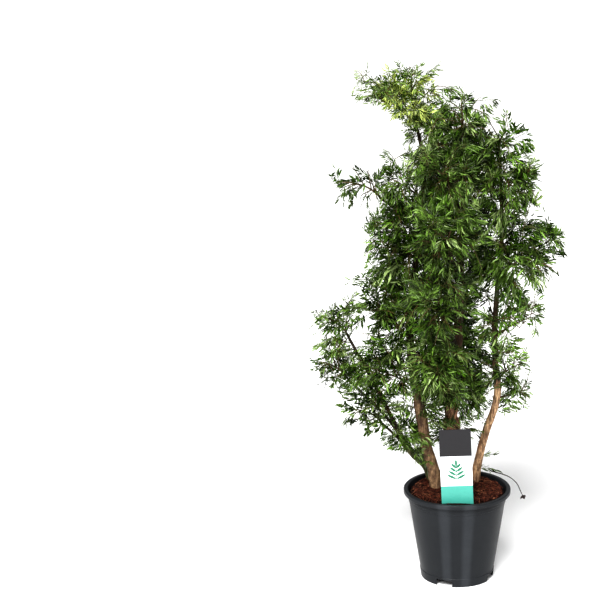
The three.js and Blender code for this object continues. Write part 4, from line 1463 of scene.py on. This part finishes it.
def growMass(index, name, mass):
    plan = leafPlan
    throw = dice(growth["firstSeed"] + growth["seedStep"] * index)
    root, ahead = rootOf(name, mass)
    targets = targetsOf(mass, throw)
    centre = Vector(mass["centre"])
    spine = spineOf(mass, root, ahead, targets[0])
    wood = leafStalks["stalkGreen"] if mass["tint"] in ("lime", "young") else twigs
    thinBough, slender = woodWidths["slender"]
    thickness = slender if mass.get("bough", thinBough) < thinBough else 1
    wood.follow(spine, [width * thickness for width in woodWidths["spine"]])
    usual = min(mass["size"]) * plan["length"]
    kinds = ownKinds.get(name, massKinds[mass["tint"]])
    low, high = plan["lengths"]
    density = massDensity.get(name, 1)
    outwards = outwardOf(mass)
    beside = [other for other in masses.values() if other is not mass and areNear(mass, other)]

    def fits(place):
        if not isWithinReach(place):
            return False
        limit = limitAt(place)
        return depthIn(mass, place) <= limit or any(depthIn(other, place) <= limit for other in beside)

    def leafAt(spot, way, length, shade=0.0):
        if throw() > density:
            return
        length = length * (low + (high - low) * throw())
        for _ in range(plan["tries"]):
            if fits(spot + way * length):
                break
            length *= plan["cut"]
        kind = kinds[int(throw() * len(kinds))]
        tint = tintAt(ownTints.get(name, mass["tint"]), spot + way * length * plan["tintFrom"])
        if length > plan["leastLength"]:
            growLeaf(spot, way, length, throw, kind, tint, outwards, fits, shade)

    for number, place in enumerate(targets):
        hub = centre.lerp(place, growth["hub"])
        shoot = spine
        if number:
            origin = originFor(spine, hub)
            bow = origin.lerp(hub, 0.5) + up * (hub - origin).length * plan["shootBow"]
            shoot = bentLine(origin, bow, hub, fineness=plan["shootSteps"])
            wood.follow(shoot, woodWidths["shoot"])
        run = shoot.ahead(1)
        across = acrossTo(run)
        rise, lean = plan["lean"]
        end = hub.lerp(place, plan["twig"])
        end += Vector((throw() - 0.5, throw() - 0.5, rise)) * (place - hub).length * lean
        pull = hub + run * (end - hub).length * plan["twigBend"]
        twig = bentLine(hub, pull, end, fineness=plan["twigSteps"])
        wood.follow(twig, woodWidths["twig"])
        leafAt(end, (place - end).normalized(), (place - end).length * plan["tipLength"])
        for k in range(plan["atHub"]):
            share = (k + throw()) / plan["atHub"]
            tilt = vary(throw, plan["hubTilt"])
            turn = goldenAngle * k + plan["hubTurn"] * throw()
            leafAt(twig.at(share), aimed(twig.ahead(share), across, turn, tilt), usual)
        first, length = plan["shootRun"]
        for k in range(plan["onShoot"]):
            share = first + length * (k + throw()) / plan["onShoot"]
            spot, run = shoot.at(share), shoot.ahead(share)
            way = aimed(run, acrossTo(run), fullTurn * throw(), vary(throw, plan["shootTilt"]))
            leafAt(spot, way, usual, plan["shade"])


def growOnLimbs():  # leaves that spring straight from the stems and leaders
    look = limbLeafSpread
    throw = dice(look["seed"])
    for limb, first, last, count, length, tint, lean in limbLeaves:
        line = limbs[limb]["line"]
        kinds = massKinds[tint]
        for k in range(count):
            share = first + (last - first) * (k + throw()) / count
            spot = line.at(share)
            around = fullTurn * throw()
            way = Vector((math.cos(around), math.sin(around), look["rise"])) * look["out"] + Vector(lean)
            way.normalize()
            kind = kinds[int(throw() * len(kinds))]
            outwards = Vector((way.x, way.y, 0)).normalized()
            own = tintAt(tint, spot + way * length * look["tintFrom"])
            size = length * vary(throw, look["length"])
            growLeaf(spot, way, size, throw, kind, own, outwards, isWithinReach)


def leafFinish(name):
    look, rib = leafLook, leafLook["rib"]
    upper, under, _ = leafTones[name]
    times, plus = rib["lighter"]
    second = (*(c * look["second"] for c in upper[:3]), 1)
    light = (*(min(1, c * times + plus) for c in upper[:3]), 1)
    material, tree, shader = newFinish(name, look["roughness"], look["specular"])
    leafMap = addNode(tree, "UVMap", uv_map="leafMap")
    across = addMath(tree, "SUBTRACT", addNode(tree, "SeparateXYZ", {"Vector": leafMap}, "X"), 0.5)
    ribs = addRange(tree, addMath(tree, "ABSOLUTE", across), *rib["edge"], rib["amount"], 0.0)
    ribbed = addMix(tree, ribs, placeTone(tree, upper, second, *look["drift"]), light)
    sides = addMix(tree, addNode(tree, "NewGeometry", output="Backfacing"), ribbed, under)
    mark = addNode(tree, "Attribute", output="Fac", attribute_name="leafMark")
    depth = addRange(tree, mark, 0.0, 1.0, *look["depth"])
    feed(shader, {"Base Color": addTint(tree, sides, depth)})
    return material


def stalkFinish(name):
    colour, second, roughness = stalkLook["colours"][name]
    return mixedFinish(name, colour, second, roughness, stalkLook["specular"], stalkLook["drift"])


def buildCrown():
    for index, (name, mass) in enumerate(masses.items()):
        growMass(index, name, mass)
    growOnLimbs()
    print("stage: crown grown,", sum(len(t.feet) for t in tones.values()), "leaflets")
    nodes = ["foliage_" + name for name in masses]
    for name, leaflets in tones.items():
        finish = leafFinish(name)
        count = len(leaflets.feet)
        parts = max(1, math.ceil(count / leafPlan["mostPerPiece"]))
        for part in range(parts):
            arrays = leafletArrays(leaflets, count * part // parts, count * (part + 1) // parts)
            points, faces, spread, marks = arrays
            letter, slot = "ABCDEFGH"[part], leafTones[name][2]
            piece = meshFromArrays(name + letter, points, faces, finish, slot, spread=spread, marks=marks)
            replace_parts(piece, *nodes)
        print("stage:", name, count, "leaflets in", parts)
    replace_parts(twigs.build("crownTwigs", stalkFinish("twigBark"), "bark"), *nodes)
    for name, stalks in leafStalks.items():
        piece = "leafStalks" + name.removeprefix("stalk")
        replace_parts(stalks.build(piece, stalkFinish(name), "leaves_fresh"), *nodes)
    print("stage: crown built")


buildCrown()


# Two dry leaf stalks: one hangs over the lip at the right, one leans on the label

dryStalks = (  # course and radii in millimetres
    {
        "course": ((75, 60, 226), (119, 60, 211), (137, 42, 200), (142, 36, 190), (149, 30, 176)),
        "radii": (1.6, 1.4, 1.2, 1.1, 0.9),
        "hasHusk": True,
    },
    {
        "course": ((-71, -20, 404), (-55, -36, 390), (-42, -52, 379), (-39, -71, 369)),
        "radii": (1.2, 1.0, 0.9, 0.7),
        "hasHusk": False,
    },
)
husk = {  # the withered leaflets at the end of a stalk, in millimetres
    "length": 12, "width": 4.5, "shorter": 0.4, "sunk": 3, "curl": 0.5, "bend": 0.6,
    "swings": (-0.5, 0.1, 0.6), "back": 0.3, "facing": Vector((0.3, -1, 0.2)),
}


def buildDryStalks():
    finish = stalkFinish("witheredStalk")
    stalks = Stalks()
    husks = Leaflets()
    for dry in dryStalks:
        course, radii = dry["course"], dry["radii"]
        line = smoothLine(course, fineness=8)
        count = 4 * (len(course) - 1)  # four runs from place to place
        spots = [line.at(k / count) for k in range(count + 1)]
        stalks.add(spots, np.interp(np.linspace(0, len(radii) - 1, count + 1), range(len(radii)), radii))
        if dry["hasHusk"]:
            way = (spots[-1] - spots[-2]).normalized()
            for swing in husk["swings"]:
                aim = (way + Vector((swing, husk["back"] * swing, 0))).normalized()
                length = husk["length"] * (1 - husk["shorter"] * abs(swing))
                size = (length, husk["width"], husk["curl"], swing * husk["bend"])
                husks.add(spots[-1] - way * husk["sunk"], aim, husk["facing"], size)
    stalks.build("witheredStalks", finish, "bark")
    points, faces, spread, _ = leafletArrays(husks)
    meshFromArrays("witheredLeaflets", points, faces, finish, "bark", spread=spread)
    print("stage: dry stalks")


buildDryStalks()


print("stage: finished")
